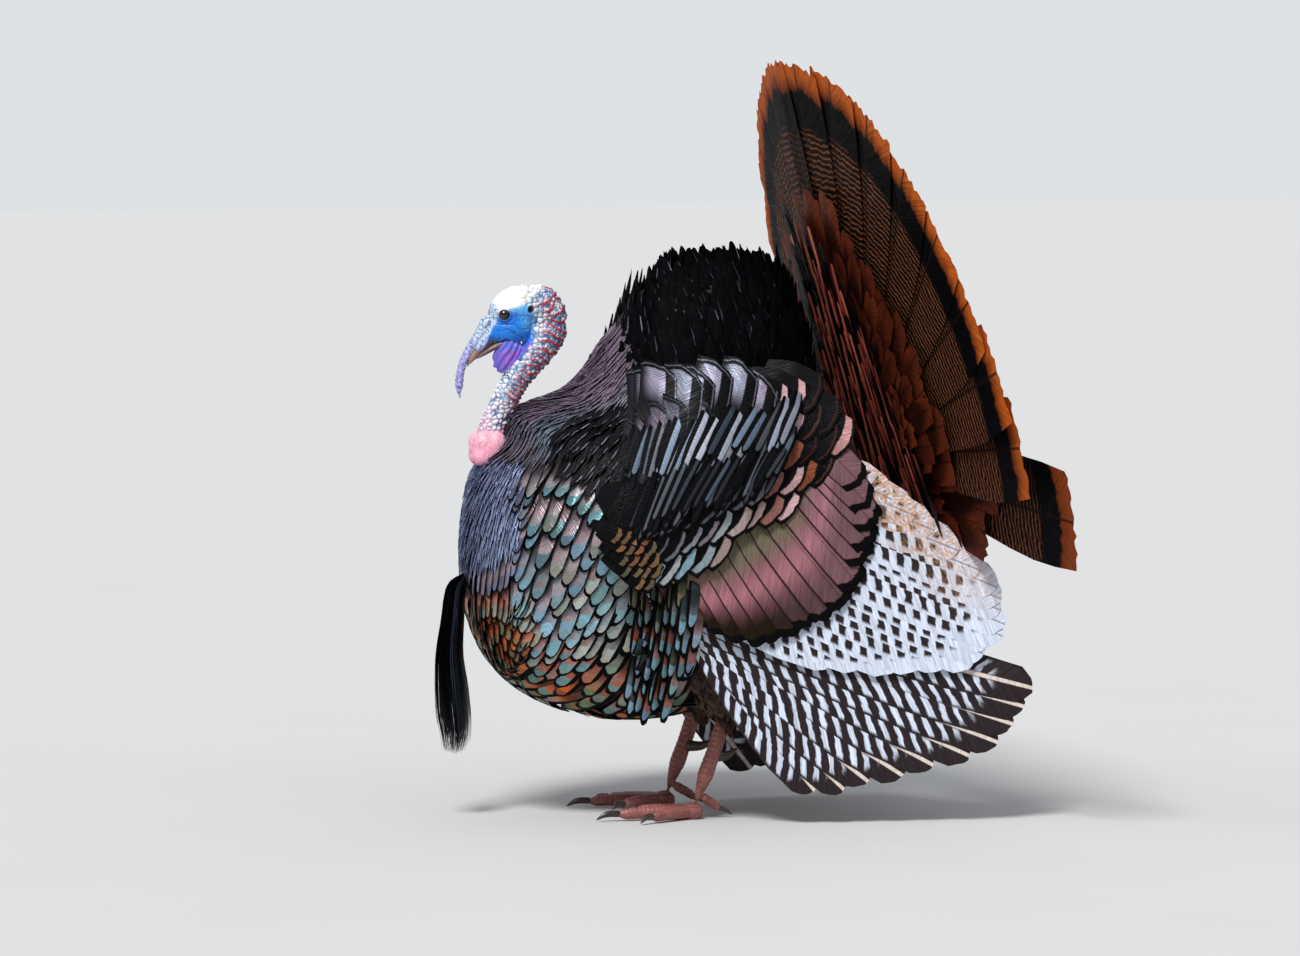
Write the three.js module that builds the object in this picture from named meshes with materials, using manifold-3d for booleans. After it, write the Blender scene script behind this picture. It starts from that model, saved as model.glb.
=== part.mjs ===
// A life-size tom wild turkey in full strut: neck drawn back, body feathers raised,
// wings lowered and tail fanned. Millimetres, +Z up. The bird faces -X, its left side
// is -Y, and it stands on the plane Z = 0.
import * as THREE from "three";
import { mergeVertices } from "three/addons/utils/BufferGeometryUtils.js";
import Module from "manifold-3d";

const wasm = await Module();
wasm.setup();

// ---------- Driving dimensions ----------
const GAP = 0.4; // clearance between pieces that touch
const BODY_HALF_WIDTH = 132;
const BODY_CENTRE = [-70, 320]; // X and Z that the body's outline swells out from
const NECK_BEADS = 18;
const BEARD_LOCKS = 10;
const TAIL_BASE = [155, 0, 355];
const TAIL_LENGTH = 412;
const TAIL_LEAN = 13; // degrees forward of upright
const TAIL_CONE = 7.5; // degrees that the fan sweeps back from the crosswise plane
const TAIL_YAW = 2.5; // degrees that its left half is turned further back than its right
const TAIL_CONE_END = 16; // the sweep of its lowest feathers, which clear the wings
const TAIL_FEATHERS = 18;
const TAIL_HALF_SPREAD = 102; // degrees from the middle to the last feather
const WRIST = [-138, 250];
const ELBOW = [49, 390];
const WING_OUT = 150; // how far the wing's middle lies from the bird's midline
const LEG_OUT = 62;
const SOLE = [-40, 0]; // X and Z of the ball of each foot
const ANKLE = [2, 132];
const EYE = [-219, 503];
const EYE_RADIUS = 7.4;
const EYE_OUT = 9.4;

const COLOURS = {
  bronze: 0x4a4038,
  black: 0x15130f,
  tail: 0x6b3c1e,
  wing: 0x8f8377,
  skinBlue: 0x3d8fc4,
  skinWhite: 0xd9d3cf,
  skinPink: 0xe08a93,
  skinViolet: 0x8a7bb8,
  horn: 0x8c7566,
  leg: 0xa8645a,
  eye: 0x1a100a,
};

// ---------- Solids ----------
const v3 = (x, y, z) => new THREE.Vector3(x, y, z);
const clamp = THREE.MathUtils.clamp;
const smoothstep = (x, low, high) => THREE.MathUtils.smoothstep(x, low, high);
const radians = THREE.MathUtils.degToRad;

/** A closed three.js geometry as a manifold solid that faces out. */
function solidOf(geometry) {
  geometry.deleteAttribute("normal");
  geometry.deleteAttribute("uv");
  const merged = mergeVertices(geometry, 1e-3);
  const vertProperties = merged.attributes.position.array;
  const triVerts = new Uint32Array(merged.index.array);
  const solid = new wasm.Manifold(new wasm.Mesh({ numProp: 3, vertProperties, triVerts }));
  if (solid.volume() > 0) return solid;
  return new wasm.Manifold(
    new wasm.Mesh({ numProp: 3, vertProperties, triVerts: triVerts.slice().reverse() }),
  );
}

/** Moves each vertex of a geometry to where the function puts it. */
function reshape(geometry, place) {
  const at = geometry.attributes.position;
  for (let i = 0; i < at.count; i++) {
    const p = place(v3(at.getX(i), at.getY(i), at.getZ(i)));
    at.setXYZ(i, p.x, p.y, p.z);
  }
  return geometry;
}

const fuse = (solids) => wasm.Manifold.union(solids);

/** The solid less the cutters, keeping its largest closed surface. */
function carve(solid, ...cutters) {
  const left = cutters.length ? solid.subtract(fuse(cutters)) : solid;
  const pieces = left.decompose();
  return pieces.reduce((a, b) => (a.volume() > b.volume() ? a : b));
}

/** An ellipsoid at a centre, pitched in the bird's XZ plane by a number of degrees. */
function ellipsoid(centre, radii, { pitch = 0, grow = 0, sides = 18, rings = 12 } = {}) {
  const geometry = new THREE.SphereGeometry(1, sides, rings);
  geometry.scale(radii[0] + grow, radii[1] + grow, radii[2] + grow);
  geometry.rotateY(radians(pitch));
  geometry.translate(...centre);
  return solidOf(geometry);
}

/** A value read along a list at a share from 0 to 1. */
function along(list, share) {
  const at = clamp(share, 0, 1) * (list.length - 1);
  const i = Math.min(Math.floor(at), list.length - 2);
  return THREE.MathUtils.lerp(list[i], list[i + 1], at - i);
}

/**
 * A closed limb along a smooth curve. deep holds its half thickness across the curve
 * and wide its half width along the side direction, both read from root to tip.
 */
function limb(points, deep, wide, { side = [0, 1, 0], sides = 10, rings = 8, grow = 0, relief } = {}) {
  const curve = new THREE.CatmullRomCurve3(points.map((p) => v3(...p)));
  const geometry = new THREE.SphereGeometry(1, sides, rings);
  const out = v3(...side);
  return solidOf(
    reshape(geometry, (p) => {
      const share = Math.acos(clamp(p.y, -1, 1)) / Math.PI;
      const ring = Math.hypot(p.x, p.z);
      const turn = Math.atan2(p.z, p.x);
      const round = Math.min(1, ring * 2.2);
      const ahead = curve.getTangent(share);
      const across = out.clone().addScaledVector(ahead, -out.dot(ahead)).normalize();
      const up = ahead.clone().cross(across);
      const extra = relief ? relief(share, turn) : 0;
      const r = round * (along(deep, share) + grow + extra);
      const w = round * (along(wide, share) + grow + extra);
      const end = share < 0.5 ? -1 : 1;
      return curve
        .getPoint(share)
        .addScaledVector(up, r * Math.cos(turn))
        .addScaledVector(across, w * Math.sin(turn))
        .addScaledVector(ahead, ring < 1e-6 ? end * grow : 0);
    }),
  );
}

/**
 * A thin closed sheet over a grid. place gives the middle of the sheet, facing its outward
 * direction, and half its thickness at each u and v from 0 to 1. Both faces are split alike.
 */
function sheet(across, down, place) {
  const grid = new THREE.PlaneGeometry(1, 1, across, down);
  const at = grid.attributes.position;
  const n = at.count;
  const points = new Float32Array(n * 6);
  for (let i = 0; i < n; i++) {
    const { middle, facing, half } = place(at.getX(i) + 0.5, 0.5 - at.getY(i));
    middle.clone().addScaledVector(facing, half).toArray(points, i * 3);
    middle.clone().addScaledVector(facing, -half).toArray(points, (n + i) * 3);
  }
  const front = [...grid.index.array];
  const faces = [...front];
  for (let i = 0; i < front.length; i += 3) faces.push(front[i] + n, front[i + 2] + n, front[i + 1] + n);
  const rim = [];
  for (let i = 0; i < across; i++) rim.push(i);
  for (let j = 0; j < down; j++) rim.push(across + j * (across + 1));
  for (let i = across; i > 0; i--) rim.push(down * (across + 1) + i);
  for (let j = down; j > 0; j--) rim.push(j * (across + 1));
  rim.forEach((a, k) => {
    const b = rim[(k + 1) % rim.length];
    faces.push(a, b, b + n, a, b + n, a + n);
  });
  const geometry = new THREE.BufferGeometry();
  geometry.setAttribute("position", new THREE.BufferAttribute(points, 3));
  geometry.setIndex(faces);
  return solidOf(geometry);
}

// A feather's width from root to tip, as shares: a broad one, and one that a fan spreads.
const BLADE = [0.14, 0.66, 0.98, 0.6];
const FAN_BLADE = [0.06, 0.5, 0.88, 0.66];

/**
 * A feather as a thin vane. spot gives the point at a share of the length and an offset
 * to the side, and facing the outward direction there.
 */
function feather({ spot, facing, length, width, across = 2, down = 3, half = 0.55, camber = 0.6, blade = BLADE }) {
  return sheet(across, down, (u, v) => {
    const edge = Math.abs(2 * u - 1);
    const pulledBack = v > 0.99 && across > 1 ? (0.3 * width * edge) / length : 0;
    const share = v - pulledBack;
    const offset = (u - 0.5) * width * along(blade, v);
    const out = facing(share, offset);
    const middle = spot(share, offset).addScaledVector(out, camber * (1 - edge) * (1 - 0.6 * v));
    return { middle, facing: out, half: half * (1 - 0.55 * v) };
  });
}

/** A repeatable draw between -1 and 1 for the feather or lock with this number. */
function vary(number) {
  const wave = Math.sin(number * 127.1 + 311.7) * 43758.5453;
  return 2 * (wave - Math.floor(wave)) - 1;
}

/** A point on a line of [x, z] places, at a share from its start. */
const onLine = (line, share) => [
  along(line.map((p) => p[0]), share),
  along(line.map((p) => p[1]), share),
];

const bird = new THREE.Group();

/** Adds a solid to the bird as a named mesh. */
function add(name, solid, colour, roughness = 0.7) {
  const { numProp, vertProperties, triVerts } = solid.getMesh();
  const points = new Float32Array((vertProperties.length / numProp) * 3);
  for (let i = 0; i * numProp < vertProperties.length; i++)
    points.set(vertProperties.subarray(i * numProp, i * numProp + 3), i * 3);
  const geometry = new THREE.BufferGeometry();
  geometry.setAttribute("position", new THREE.BufferAttribute(points, 3));
  geometry.setIndex(new THREE.BufferAttribute(triVerts, 1));
  geometry.computeVertexNormals();
  const material = new THREE.MeshStandardMaterial({ color: colour, roughness, metalness: 0 });
  const mesh = new THREE.Mesh(geometry, material);
  mesh.name = name;
  bird.add(mesh);
}

// ---------- Torso ----------
const HUMP_STEP = 24; // degrees that a raised feather runs up the flank
const HUMP_ROWS = [
  { tilt: 14, count: 6 },
  { tilt: 33, count: 5 },
  { tilt: 51, count: 4 },
];

// The side outline, from the neck's front down the breast, under the belly, up the rump and
// over the raised back.
const TORSO_OUTLINE = [
  [-246, 348], [-257, 300], [-259, 253], [-253, 207], [-234, 162], [-200, 128], [-150, 106],
  [-89, 98], [-17, 108], [56, 142], [112, 200], [138, 270], [132, 345], [110, 412], [94, 476],
  [73, 528], [34, 552], [-27, 552], [-73, 537], [-102, 511], [-120, 482], [-138, 454],
  [-160, 432], [-191, 417], [-213, 404], [-222, 377],
];
const torsoCurve = new THREE.CatmullRomCurve3(
  TORSO_OUTLINE.map(([x, z]) => v3(x, 0, z)),
  true,
  "centripetal",
);

/** A point on the torso: turn runs round the side outline and tilt goes from flank to flank. */
function torsoPoint(turn, tilt, grow = 0) {
  const edge = torsoCurve.getPoint(turn);
  const centre = v3(BODY_CENTRE[0], 0, BODY_CENTRE[1]);
  const reach = edge.sub(centre);
  const rise = clamp(reach.z / 240, 0, 1);
  const rear = clamp(reach.x / 200, 0, 1);
  const pinch = 0.86 + 0.3 * rise + 0.25 * rear;
  const spread = Math.sin(tilt) * (1 + grow / reach.length());
  const out = Math.abs(Math.cos(tilt)) ** pinch * (BODY_HALF_WIDTH + grow);
  return centre.addScaledVector(reach, spread).setY(Math.sign(Math.cos(tilt)) * out);
}

function torsoSolid(grow = 0) {
  const geometry = new THREE.SphereGeometry(1, 38, 12);
  return solidOf(
    reshape(geometry, (p) => {
      const turn = (Math.atan2(p.z, -p.x) / (2 * Math.PI) + 1) % 1;
      return torsoPoint(turn, Math.acos(clamp(p.y, -1, 1)), grow);
    }),
  );
}

/** The upright feathers of the raised back: rows from the crest down both flanks. */
function humpFeathers() {
  const feathers = [];
  for (const side of [-1, 1]) {
    HUMP_ROWS.forEach(({ tilt, count }, row) => {
      for (let i = 0; i < count; i++) {
        const turn = (13.6 + (5.6 * (i + 0.5 * (row % 2) + 0.2)) / count) / TORSO_OUTLINE.length;
        const rise = HUMP_STEP * (1 + 0.15 * vary(i + row * count));
        const spot = (share, offset) =>
          torsoPoint(
            turn - offset / (1500 * Math.cos(radians(tilt))),
            Math.PI / 2 + side * radians(tilt - rise * share),
            THREE.MathUtils.lerp(-6, 8 + 3 * row, share) + offset * Math.sin(radians(12)),
          );
        const facing = (share, offset) => {
          const here = spot(share, offset);
          return here.sub(v3(here.x * 0.3 - 40, 0, BODY_CENTRE[1] + 40)).normalize();
        };
        feathers.push(feather({ spot, facing, length: 60, width: 42 * Math.cos(radians(tilt)), across: 1, down: 2, blade: [0.5, 1, 0.3] }));
      }
    });
  }
  return feathers;
}

// ---------- Neck and head ----------
const NECK_LINE = [
  [-182, 0, 518], [-173, 0, 496], [-180, 0, 473], [-193, 0, 454], [-205, 0, 438],
  [-213, 0, 424], [-220, 0, 410], [-230, 0, 388], [-231, 0, 362], [-222, 0, 328],
];
const NECK_DEEP = [15, 22, 19, 15.5, 13.5, 13.5, 14, 13.5, 13, 13];
const NECK_WIDE = [11, 16, 16, 15.5, 15, 14.5, 14, 13, 12, 12];
const NECK_RINGS = 24;
const napeFolds = (share, turn) => 1.6 * Math.sin(NECK_RINGS * 2.1 * share) * Math.max(0, Math.cos(turn));
const neckSolid = (grow = 0) =>
  limb(NECK_LINE, NECK_DEEP, NECK_WIDE, { sides: 10, rings: NECK_RINGS, grow, relief: napeFolds });

/** The beads of bare skin on the front and sides of the neck. */
function neckBeads(grow = 0) {
  const curve = new THREE.CatmullRomCurve3(NECK_LINE.map((p) => v3(...p)));
  return Array.from({ length: NECK_BEADS }, (_, i) => {
    const side = i % 2 ? 1 : -1;
    const row = Math.floor(i / 2);
    const share = 0.34 + 0.48 * ((row + 0.5) / (NECK_BEADS / 2)) + 0.01 * vary(row);
    const turn = side * radians(25 + 40 * (row % 3)); // from the throat round to the side
    const ahead = curve.getTangent(share);
    const throat = v3(0, 1, 0).cross(ahead);
    const at = curve
      .getPoint(share)
      .addScaledVector(throat, 0.88 * along(NECK_DEEP, share) * Math.cos(turn))
      .addScaledVector(v3(0, 1, 0), 0.88 * along(NECK_WIDE, share) * Math.sin(turn));
    const bead = new THREE.IcosahedronGeometry(6 + 0.8 * vary(row + 40) + 1.3 * grow, 0);
    bead.scale(1, 0.9, 1.15);
    bead.rotateX(row);
    bead.translate(at.x, at.y, at.z);
    return solidOf(bead);
  });
}

const HEAD_PITCH = -28; // the head's long axis dips towards the bill
function headSolid(grow = 0) {
  return fuse([
    ellipsoid([-205, 0, 507], [29, 17, 23], { pitch: HEAD_PITCH, grow, sides: 14, rings: 9 }),
    ellipsoid([-210, 0, 491], [21, 14.5, 18], { pitch: HEAD_PITCH, grow, sides: 10, rings: 6 }),
    ellipsoid([-222, 0, 490], [17, 11, 13], { pitch: -45, grow, sides: 8, rings: 5 }),
  ]);
}

/** A raised ring of skin that lies flat on the side of the head. */
function skinRing([x, z], out, radius, thick, sides) {
  return [-1, 1].map((side) => {
    const ring = new THREE.TorusGeometry(radius, thick, 3, sides);
    ring.rotateX(Math.PI / 2);
    ring.translate(x, side * out, z);
    return solidOf(ring);
  });
}

const LID_OUT = 14.2;
const EAR = [-193, 508];
const EAR_OUT = 15.2;
const lids = () => skinRing(EYE, LID_OUT, 6.8, 1.7, 9);
const earRims = () => skinRing(EAR, EAR_OUT, 3.6, 1.4, 7);
const earCups = () =>
  [-1, 1].map((side) => ellipsoid([EAR[0], side * (EAR_OUT + 1), EAR[1]], [2.6, 4, 2.6], { sides: 6, rings: 4 }));

/** The line of the mouth, cut back into the cheek behind the bill. */
const gape = () => ellipsoid([-221, 0, 477], [14, 22, 0.9], { pitch: -24, sides: 8, rings: 4 });
const nostrils = () =>
  [-1, 1].map((side) => ellipsoid([-232, side * 6.6, 482], [3, 2, 1.3], { pitch: -40, sides: 6, rings: 4 }));

const BILL_TOP_LINE = [[-218, 0, 490], [-230, 0, 482], [-241, 0, 471], [-250, 0, 461], [-255, 0, 450]];
const BILL_LOW_LINE = [[-212, 0, 476], [-226, 0, 469], [-238, 0, 463], [-249, 0, 456]];
const upperBill = (grow = 0) =>
  limb(BILL_TOP_LINE, [8, 7.5, 6, 4.2, 1.2], [8, 7.5, 6, 4, 1.2], { sides: 8, grow });
const lowerBill = (grow = 0) => limb(BILL_LOW_LINE, [5, 4.5, 3.6, 1.2], [6.5, 6, 4.5, 1.4], { sides: 8, rings: 6, grow });

const SNOOD_LINE = [
  [-226, 0, 503], [-234, 0, 495], [-243, 0, 481], [-252, 0, 468], [-260, 0, 452],
  [-263, 0, 434], [-262, 0, 417],
];
const snoodSolid = (grow = 0) =>
  limb(SNOOD_LINE, [6, 5.5, 4.6, 4, 3.8, 4, 3.2], [7, 6, 5, 4.2, 4, 4.2, 3.4], { sides: 8, rings: 13, grow });

const eyeSolid = (side, grow = 0) =>
  ellipsoid([EYE[0], side * EYE_OUT, EYE[1]], [EYE_RADIUS, EYE_RADIUS, EYE_RADIUS], { grow, sides: 10, rings: 7 });

const dewlapSolid = (grow = 0) =>
  limb([[-205, 0, 480], [-213, 0, 466], [-218, 0, 455], [-222, 0, 442]], [13, 13, 11, 6], [9, 8, 7, 4.5], {
    sides: 8,
    rings: 6,
    grow,
  });

/** The big bulbs at the foot of the neck, with smaller ones above them. */
const caruncleLobes = (grow = 0) => [
  ellipsoid([-235, -9, 366], [14, 12, 17], { grow, sides: 10, rings: 7 }),
  ellipsoid([-235, 9, 366], [14, 12, 17], { grow, sides: 10, rings: 7 }),
  ellipsoid([-226, -14, 373], [10, 8, 12], { grow, sides: 8, rings: 5 }),
  ellipsoid([-226, 14, 373], [10, 8, 12], { grow, sides: 8, rings: 5 }),
  ellipsoid([-240, 0, 380], [7, 7, 6], { grow, sides: 8, rings: 5 }),
];

// ---------- Beard ----------
const BEARD_LINE = [
  [-248, 0, 248], [-264, 0, 236], [-270, 0, 196], [-273, 0, 164], [-271, 0, 133], [-269, 0, 104],
  [-267, 0, 80], [-269, 0, 62],
];
const BEARD_SPREAD = [4, 8, 10, 11, 15, 16, 12, 8]; // half its width from root to tip, seen from the side

/** The beard: flat tapered locks of bristle, side by side in two layers, from one root. */
function beardSolid() {
  const curve = new THREE.CatmullRomCurve3(BEARD_LINE.map((p) => v3(...p)));
  const locks = Array.from({ length: BEARD_LOCKS }, (_, i) => {
    const layer = i % 2 ? 1 : -1;
    const column = (2 * (i - (i % 2))) / (BEARD_LOCKS - 2) - 1;
    const end = 1 - 0.14 * Math.abs(column) - 0.03 * Math.abs(vary(i));
    const spot = (share, offset) => {
      const at = clamp(share, 0, 1) * end;
      const side = column * along(BEARD_SPREAD, at) + offset;
      const deep = layer * (2.2 + 5 * Math.sin(Math.PI * at)) * (1 - 0.4 * column ** 2);
      return curve.getPoint(at).add(v3(side, deep + 0.22 * offset, 0));
    };
    return feather({
      spot,
      facing: () => v3(0, 1, 0),
      length: 190,
      width: 11,
      across: 1,
      down: 3,
      half: 2.4,
      blade: [0.6, 0.9, 1.1, 0.25],
    });
  });
  const root = limb([[-240, 0, 250], [-262, 0, 240], [-269, 0, 214]], [7, 9, 6], [7, 9, 5], { sides: 8, rings: 5 });
  return fuse([root, ...locks]);
}

// ---------- Tail ----------
/** The fan's own directions at an angle from its middle, in degrees: left is negative. */
function fanFrame(angle) {
  const lean = radians(TAIL_LEAN);
  const side = angle < 0 ? -1 : 1;
  const low = smoothstep(Math.abs(angle), side < 0 ? 80 : 60, 98);
  const cone = radians(THREE.MathUtils.lerp(TAIL_CONE - side * TAIL_YAW, TAIL_CONE_END, low));
  const up = v3(-Math.sin(lean), 0, Math.cos(lean));
  const outward = v3(Math.sin(cone), side * Math.cos(cone), 0);
  const a = radians(Math.abs(angle));
  const ahead = up.clone().multiplyScalar(Math.cos(a)).addScaledVector(outward, Math.sin(a));
  const across = outward.multiplyScalar(Math.cos(a)).addScaledVector(up, -Math.sin(a));
  const forward = ahead.clone().cross(across).multiplyScalar(side);
  return { ahead, across, forward };
}

/** How much shorter the fan is at an angle from its middle than at its top. */
function fanLoss(angle) {
  const a = Math.abs(angle);
  return 26 * smoothstep(a, 25, 65) + 12 * smoothstep(a, 75, 87) - 16 * smoothstep(a, 88, 96);
}

/** One tail feather, its outer edge lying in front of the next feather's inner edge. */
function fanFeather(angle, { start, length, width, lift, across: columns, down, twist = 5.5, blade = FAN_BLADE }) {
  const { ahead, across, forward } = fanFrame(angle);
  const tip = length * (1 - fanLoss(angle) / TAIL_LENGTH);
  const spot = (share, offset) =>
    v3(...TAIL_BASE)
      .addScaledVector(ahead, start + (tip - start) * share)
      .addScaledVector(across, offset)
      .addScaledVector(forward, lift + offset * Math.sin(radians(twist)));
  return feather({ spot, facing: () => forward, length: tip - start, width, across: columns, down, blade });
}

/** A tier of feathers spread evenly over the fan. */
function fanTier(count, spread, shape) {
  return Array.from({ length: count }, (_, i) => {
    const angle = spread * ((2 * i + 1) / count - 1);
    const wobble = vary(i < count / 2 ? i : count - 1 - i);
    return fanFeather(angle, { ...shape, length: shape.length * (1 + 0.015 * wobble) });
  });
}

function tailSolid() {
  const { ahead } = fanFrame(0);
  const middle = v3(...TAIL_BASE).addScaledVector(ahead, 16);
  return fuse([
    ellipsoid([middle.x + 4, 0, middle.z], [27, 74, 66], { pitch: -TAIL_LEAN, sides: 12, rings: 7 }),
    ellipsoid([TAIL_BASE[0] - 32, 0, TAIL_BASE[2] - 2], [40, 48, 46], { sides: 10, rings: 6 }),
    ...fanTier(TAIL_FEATHERS, TAIL_HALF_SPREAD, { start: 44, length: TAIL_LENGTH, width: 96, lift: 0 }),
    ...fanTier(12, 86, { start: 46, length: 268, width: 80, lift: 10 }),
    ...fanTier(8, 76, { start: 48, length: 176, width: 72, lift: 20, across: 1, down: 2, blade: [0.1, 0.8, 0.6] }),
    ...fanTier(6, 84, { start: 48, length: 190, width: 80, lift: -10, across: 1, down: 2, blade: [0.1, 0.8, 0.6] }),
  ]);
}

// ---------- Wings ----------
// Each tier of wing feathers runs from a line of roots to a line of tips, both [x, z] in the
// side view, and lies in its own layer, in mm out from the wing's middle surface.
const WING_TIERS = [
  {
    name: "primaries",
    count: 9,
    roots: [[-104, 232], [-96, 212], [-78, 196], [-62, 186]],
    tips: [[284, 140], [278, 104], [228, 80], [172, 60], [121, 42], [74, 34]],
    width: 42,
    layer: -14,
    blade: [0.1, 0.42, 0.82, 0.6],
  },
  {
    name: "secondaries",
    count: 9,
    roots: [[34, 372], [-20, 332], [-75, 290], [-120, 256]],
    tips: [[146, 326], [189, 294], [230, 254], [257, 222], [254, 197], [236, 177], [206, 166], [148, 164], [87, 170]],
    width: 52,
    layer: -6.5,
    blade: [0.12, 0.5, 0.86, 0.6],
  },
  {
    name: "greater coverts",
    count: 8,
    roots: [[42, 384], [-12, 340], [-66, 296], [-118, 262]],
    tips: [[113, 340], [122, 303], [118, 264], [98, 224], [68, 202], [37, 190], [1, 189], [-34, 205], [-62, 226]],
    width: 52,
    layer: 1,
    across: 1,
    blade: [0.2, 0.7, 1, 0.55],
  },
  {
    name: "median coverts",
    count: 7,
    roots: [[46, 402], [-10, 358], [-70, 312], [-134, 268]],
    tips: [[106, 356], [50, 318], [-14, 277], [-72, 246]],
    width: 46,
    layer: 8.5,
    across: 1,
  },
  {
    name: "lesser coverts",
    count: 5,
    roots: [[36, 400], [-32, 362], [-92, 316], [-142, 276]],
    tips: [[84, 378], [16, 336], [-50, 292], [-112, 246]],
    width: 52,
    layer: 16,
    across: 1,
    down: 2,
  },
  {
    name: "scapulars",
    count: 6,
    roots: [[30, 380], [-24, 366], [-76, 352], [-116, 330]],
    tips: [[84, 412], [16, 442], [-52, 455], [-130, 428]],
    width: 50,
    layer: 23,
    down: 2,
  },
];

/** How far out the wing's middle surface lies at a place in the side view. */
function wingOut(x, z) {
  const flare = 40 * smoothstep(x, 0, 290);
  const top = 0.0016 * Math.max(0, z - 300) ** 2;
  const front = 0.004 * Math.max(0, -100 - x) ** 2;
  return WING_OUT + flare - top - front;
}

/** A point at a place in the side view and a height out from the wing's middle surface. */
const wingPoint = (side, x, z, height = 0) => v3(x, side * (wingOut(x, z) + height), z);

/** The direction out of the wing's surface at a place in the side view. */
function wingFacing(side, x, z) {
  const byX = wingPoint(side, x + 1, z).sub(wingPoint(side, x - 1, z));
  const byZ = wingPoint(side, x, z + 1).sub(wingPoint(side, x, z - 1));
  return byZ.cross(byX).normalize().multiplyScalar(side);
}

function wingTier(side, { count, roots, tips, width, layer, across, down, blade }) {
  return Array.from({ length: count }, (_, i) => {
    const share = i / (count - 1);
    const [rootX, rootZ] = onLine(roots, share);
    const [tipX, tipZ] = onLine(tips, share);
    const length = Math.hypot(tipX - rootX, tipZ - rootZ);
    const stretch = 1 + 0.02 * vary(i + layer);
    const [stepX, stepZ] = [(tipX - rootX) / length, (tipZ - rootZ) / length];
    const place = (s, offset) => [
      rootX + stepX * length * stretch * s - stepZ * offset,
      rootZ + stepZ * length * stretch * s + stepX * offset,
    ];
    const spot = (s, offset) => {
      const [x, z] = place(s, offset);
      const height = THREE.MathUtils.lerp(0.4 * layer - 5, layer, smoothstep(s, 0, 0.4));
      return wingPoint(side, x, z, height + offset * Math.sin(radians(7)));
    };
    const facing = (s, offset) => wingFacing(side, ...place(s, offset));
    return feather({ spot, facing, length, width, across, down, blade });
  });
}

function wingSolid(side) {
  const at = ([x, z], height = 0) => wingPoint(side, x, z, height).toArray();
  const arm = limb(
    [at([-144, 262], -10), at([-60, 318], -12), at([10, 372], -13), at(ELBOW, -12)],
    [13, 28, 30, 12],
    [11, 18, 18, 9],
    { sides: 8, rings: 6 },
  );
  const hand = limb(
    [at([-138, 262], -12), at([-104, 222], -15), at([-58, 184], -16)],
    [14, 20, 8],
    [10, 11, 6],
    { sides: 8, rings: 5 },
  );
  const shoulder = ellipsoid([-66, side * 116, 350], [60, 36, 44], { sides: 12, rings: 7 });
  return fuse([arm, hand, shoulder, ...WING_TIERS.flatMap((tier) => wingTier(side, tier))]);
}

// ---------- Legs ----------
const thighSolid = (side, grow = 0) =>
  limb(
    [
      [ANKLE[0] - 50, side * (LEG_OUT + 4), 205],
      [ANKLE[0] - 30, side * (LEG_OUT + 4), 160],
      [ANKLE[0] - 4, side * LEG_OUT, ANKLE[1] - 30],
    ],
    [44, 36, 14],
    [36, 32, 13],
    { grow },
  );

const floorCut = () => {
  const slab = new THREE.BoxGeometry(600, 600, 60);
  slab.translate(0, 0, -30);
  return solidOf(slab);
};

/** A toe with its claw, from the ball of the foot along a heading in degrees from straight ahead. */
function toe(side, heading, length, z = 6.5) {
  const a = radians(heading);
  const step = (share, rise) => [
    SOLE[0] - Math.cos(a) * length * share,
    side * (LEG_OUT + Math.sin(a) * length * share),
    z + rise,
  ];
  const flesh = limb([step(0, 1), step(0.45, 1.2), step(0.82, -0.6)], [7, 6, 4.6], [7, 5.6, 4.4], {
    sides: 6,
    rings: 5,
  });
  const claw = limb([step(0.76, 0.5), step(0.92, 0.4), step(1.04, -5.2)], [3.4, 2.8, 0.7], [3, 2.4, 0.6], {
    sides: 5,
    rings: 4,
  });
  return [flesh, claw];
}

function legSolid(side) {
  const shank = limb(
    [
      [ANKLE[0] + 1, side * LEG_OUT, ANKLE[1] + 4],
      [ANKLE[0] - 14, side * LEG_OUT, ANKLE[1] * 0.62],
      [SOLE[0] + 3, side * LEG_OUT, 12],
    ],
    [10.5, 7.6, 7.2, 9],
    [8.5, 6.2, 6, 8.5],
    { sides: 8, rings: 6 },
  );
  const pad = ellipsoid([SOLE[0], side * LEG_OUT, 7], [12, 11, 9], { sides: 10, rings: 6 });
  const hallux = limb(
    [
      [SOLE[0] + 8, side * (LEG_OUT - 2), 24],
      [SOLE[0] + 24, side * (LEG_OUT - 8), 14],
      [SOLE[0] + 35, side * (LEG_OUT - 11), 4],
    ],
    [5, 4, 1],
    [4.6, 3.6, 1],
    { sides: 6, rings: 5 },
  );
  const toes = [toe(side, 4, 96), toe(side, -34, 74), toe(side, 38, 78)].flat();
  return fuse([shank, pad, hallux, ...toes]);
}

const spurSolid = (side, grow = 0) =>
  limb(
    [
      [-16, side * (LEG_OUT - 4), 62],
      [-2, side * (LEG_OUT - 9), 62],
      [12, side * (LEG_OUT - 13), 70],
    ],
    [6, 4.4, 0.8],
    [5.4, 4, 0.8],
    { sides: 8, rings: 6, grow },
  );

// ---------- Assembly ----------
const torso = torsoSolid();
const torsoClear = torsoSolid(GAP * 1.3);
const neck = carve(fuse([neckSolid(), ...neckBeads()]), torsoClear, fuse(caruncleLobes(GAP)));
const neckClear = neckSolid(GAP);
const billClear = fuse([upperBill(GAP), lowerBill(GAP)]);
const eyesClear = fuse([eyeSolid(-1, GAP), eyeSolid(1, GAP)]);

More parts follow.
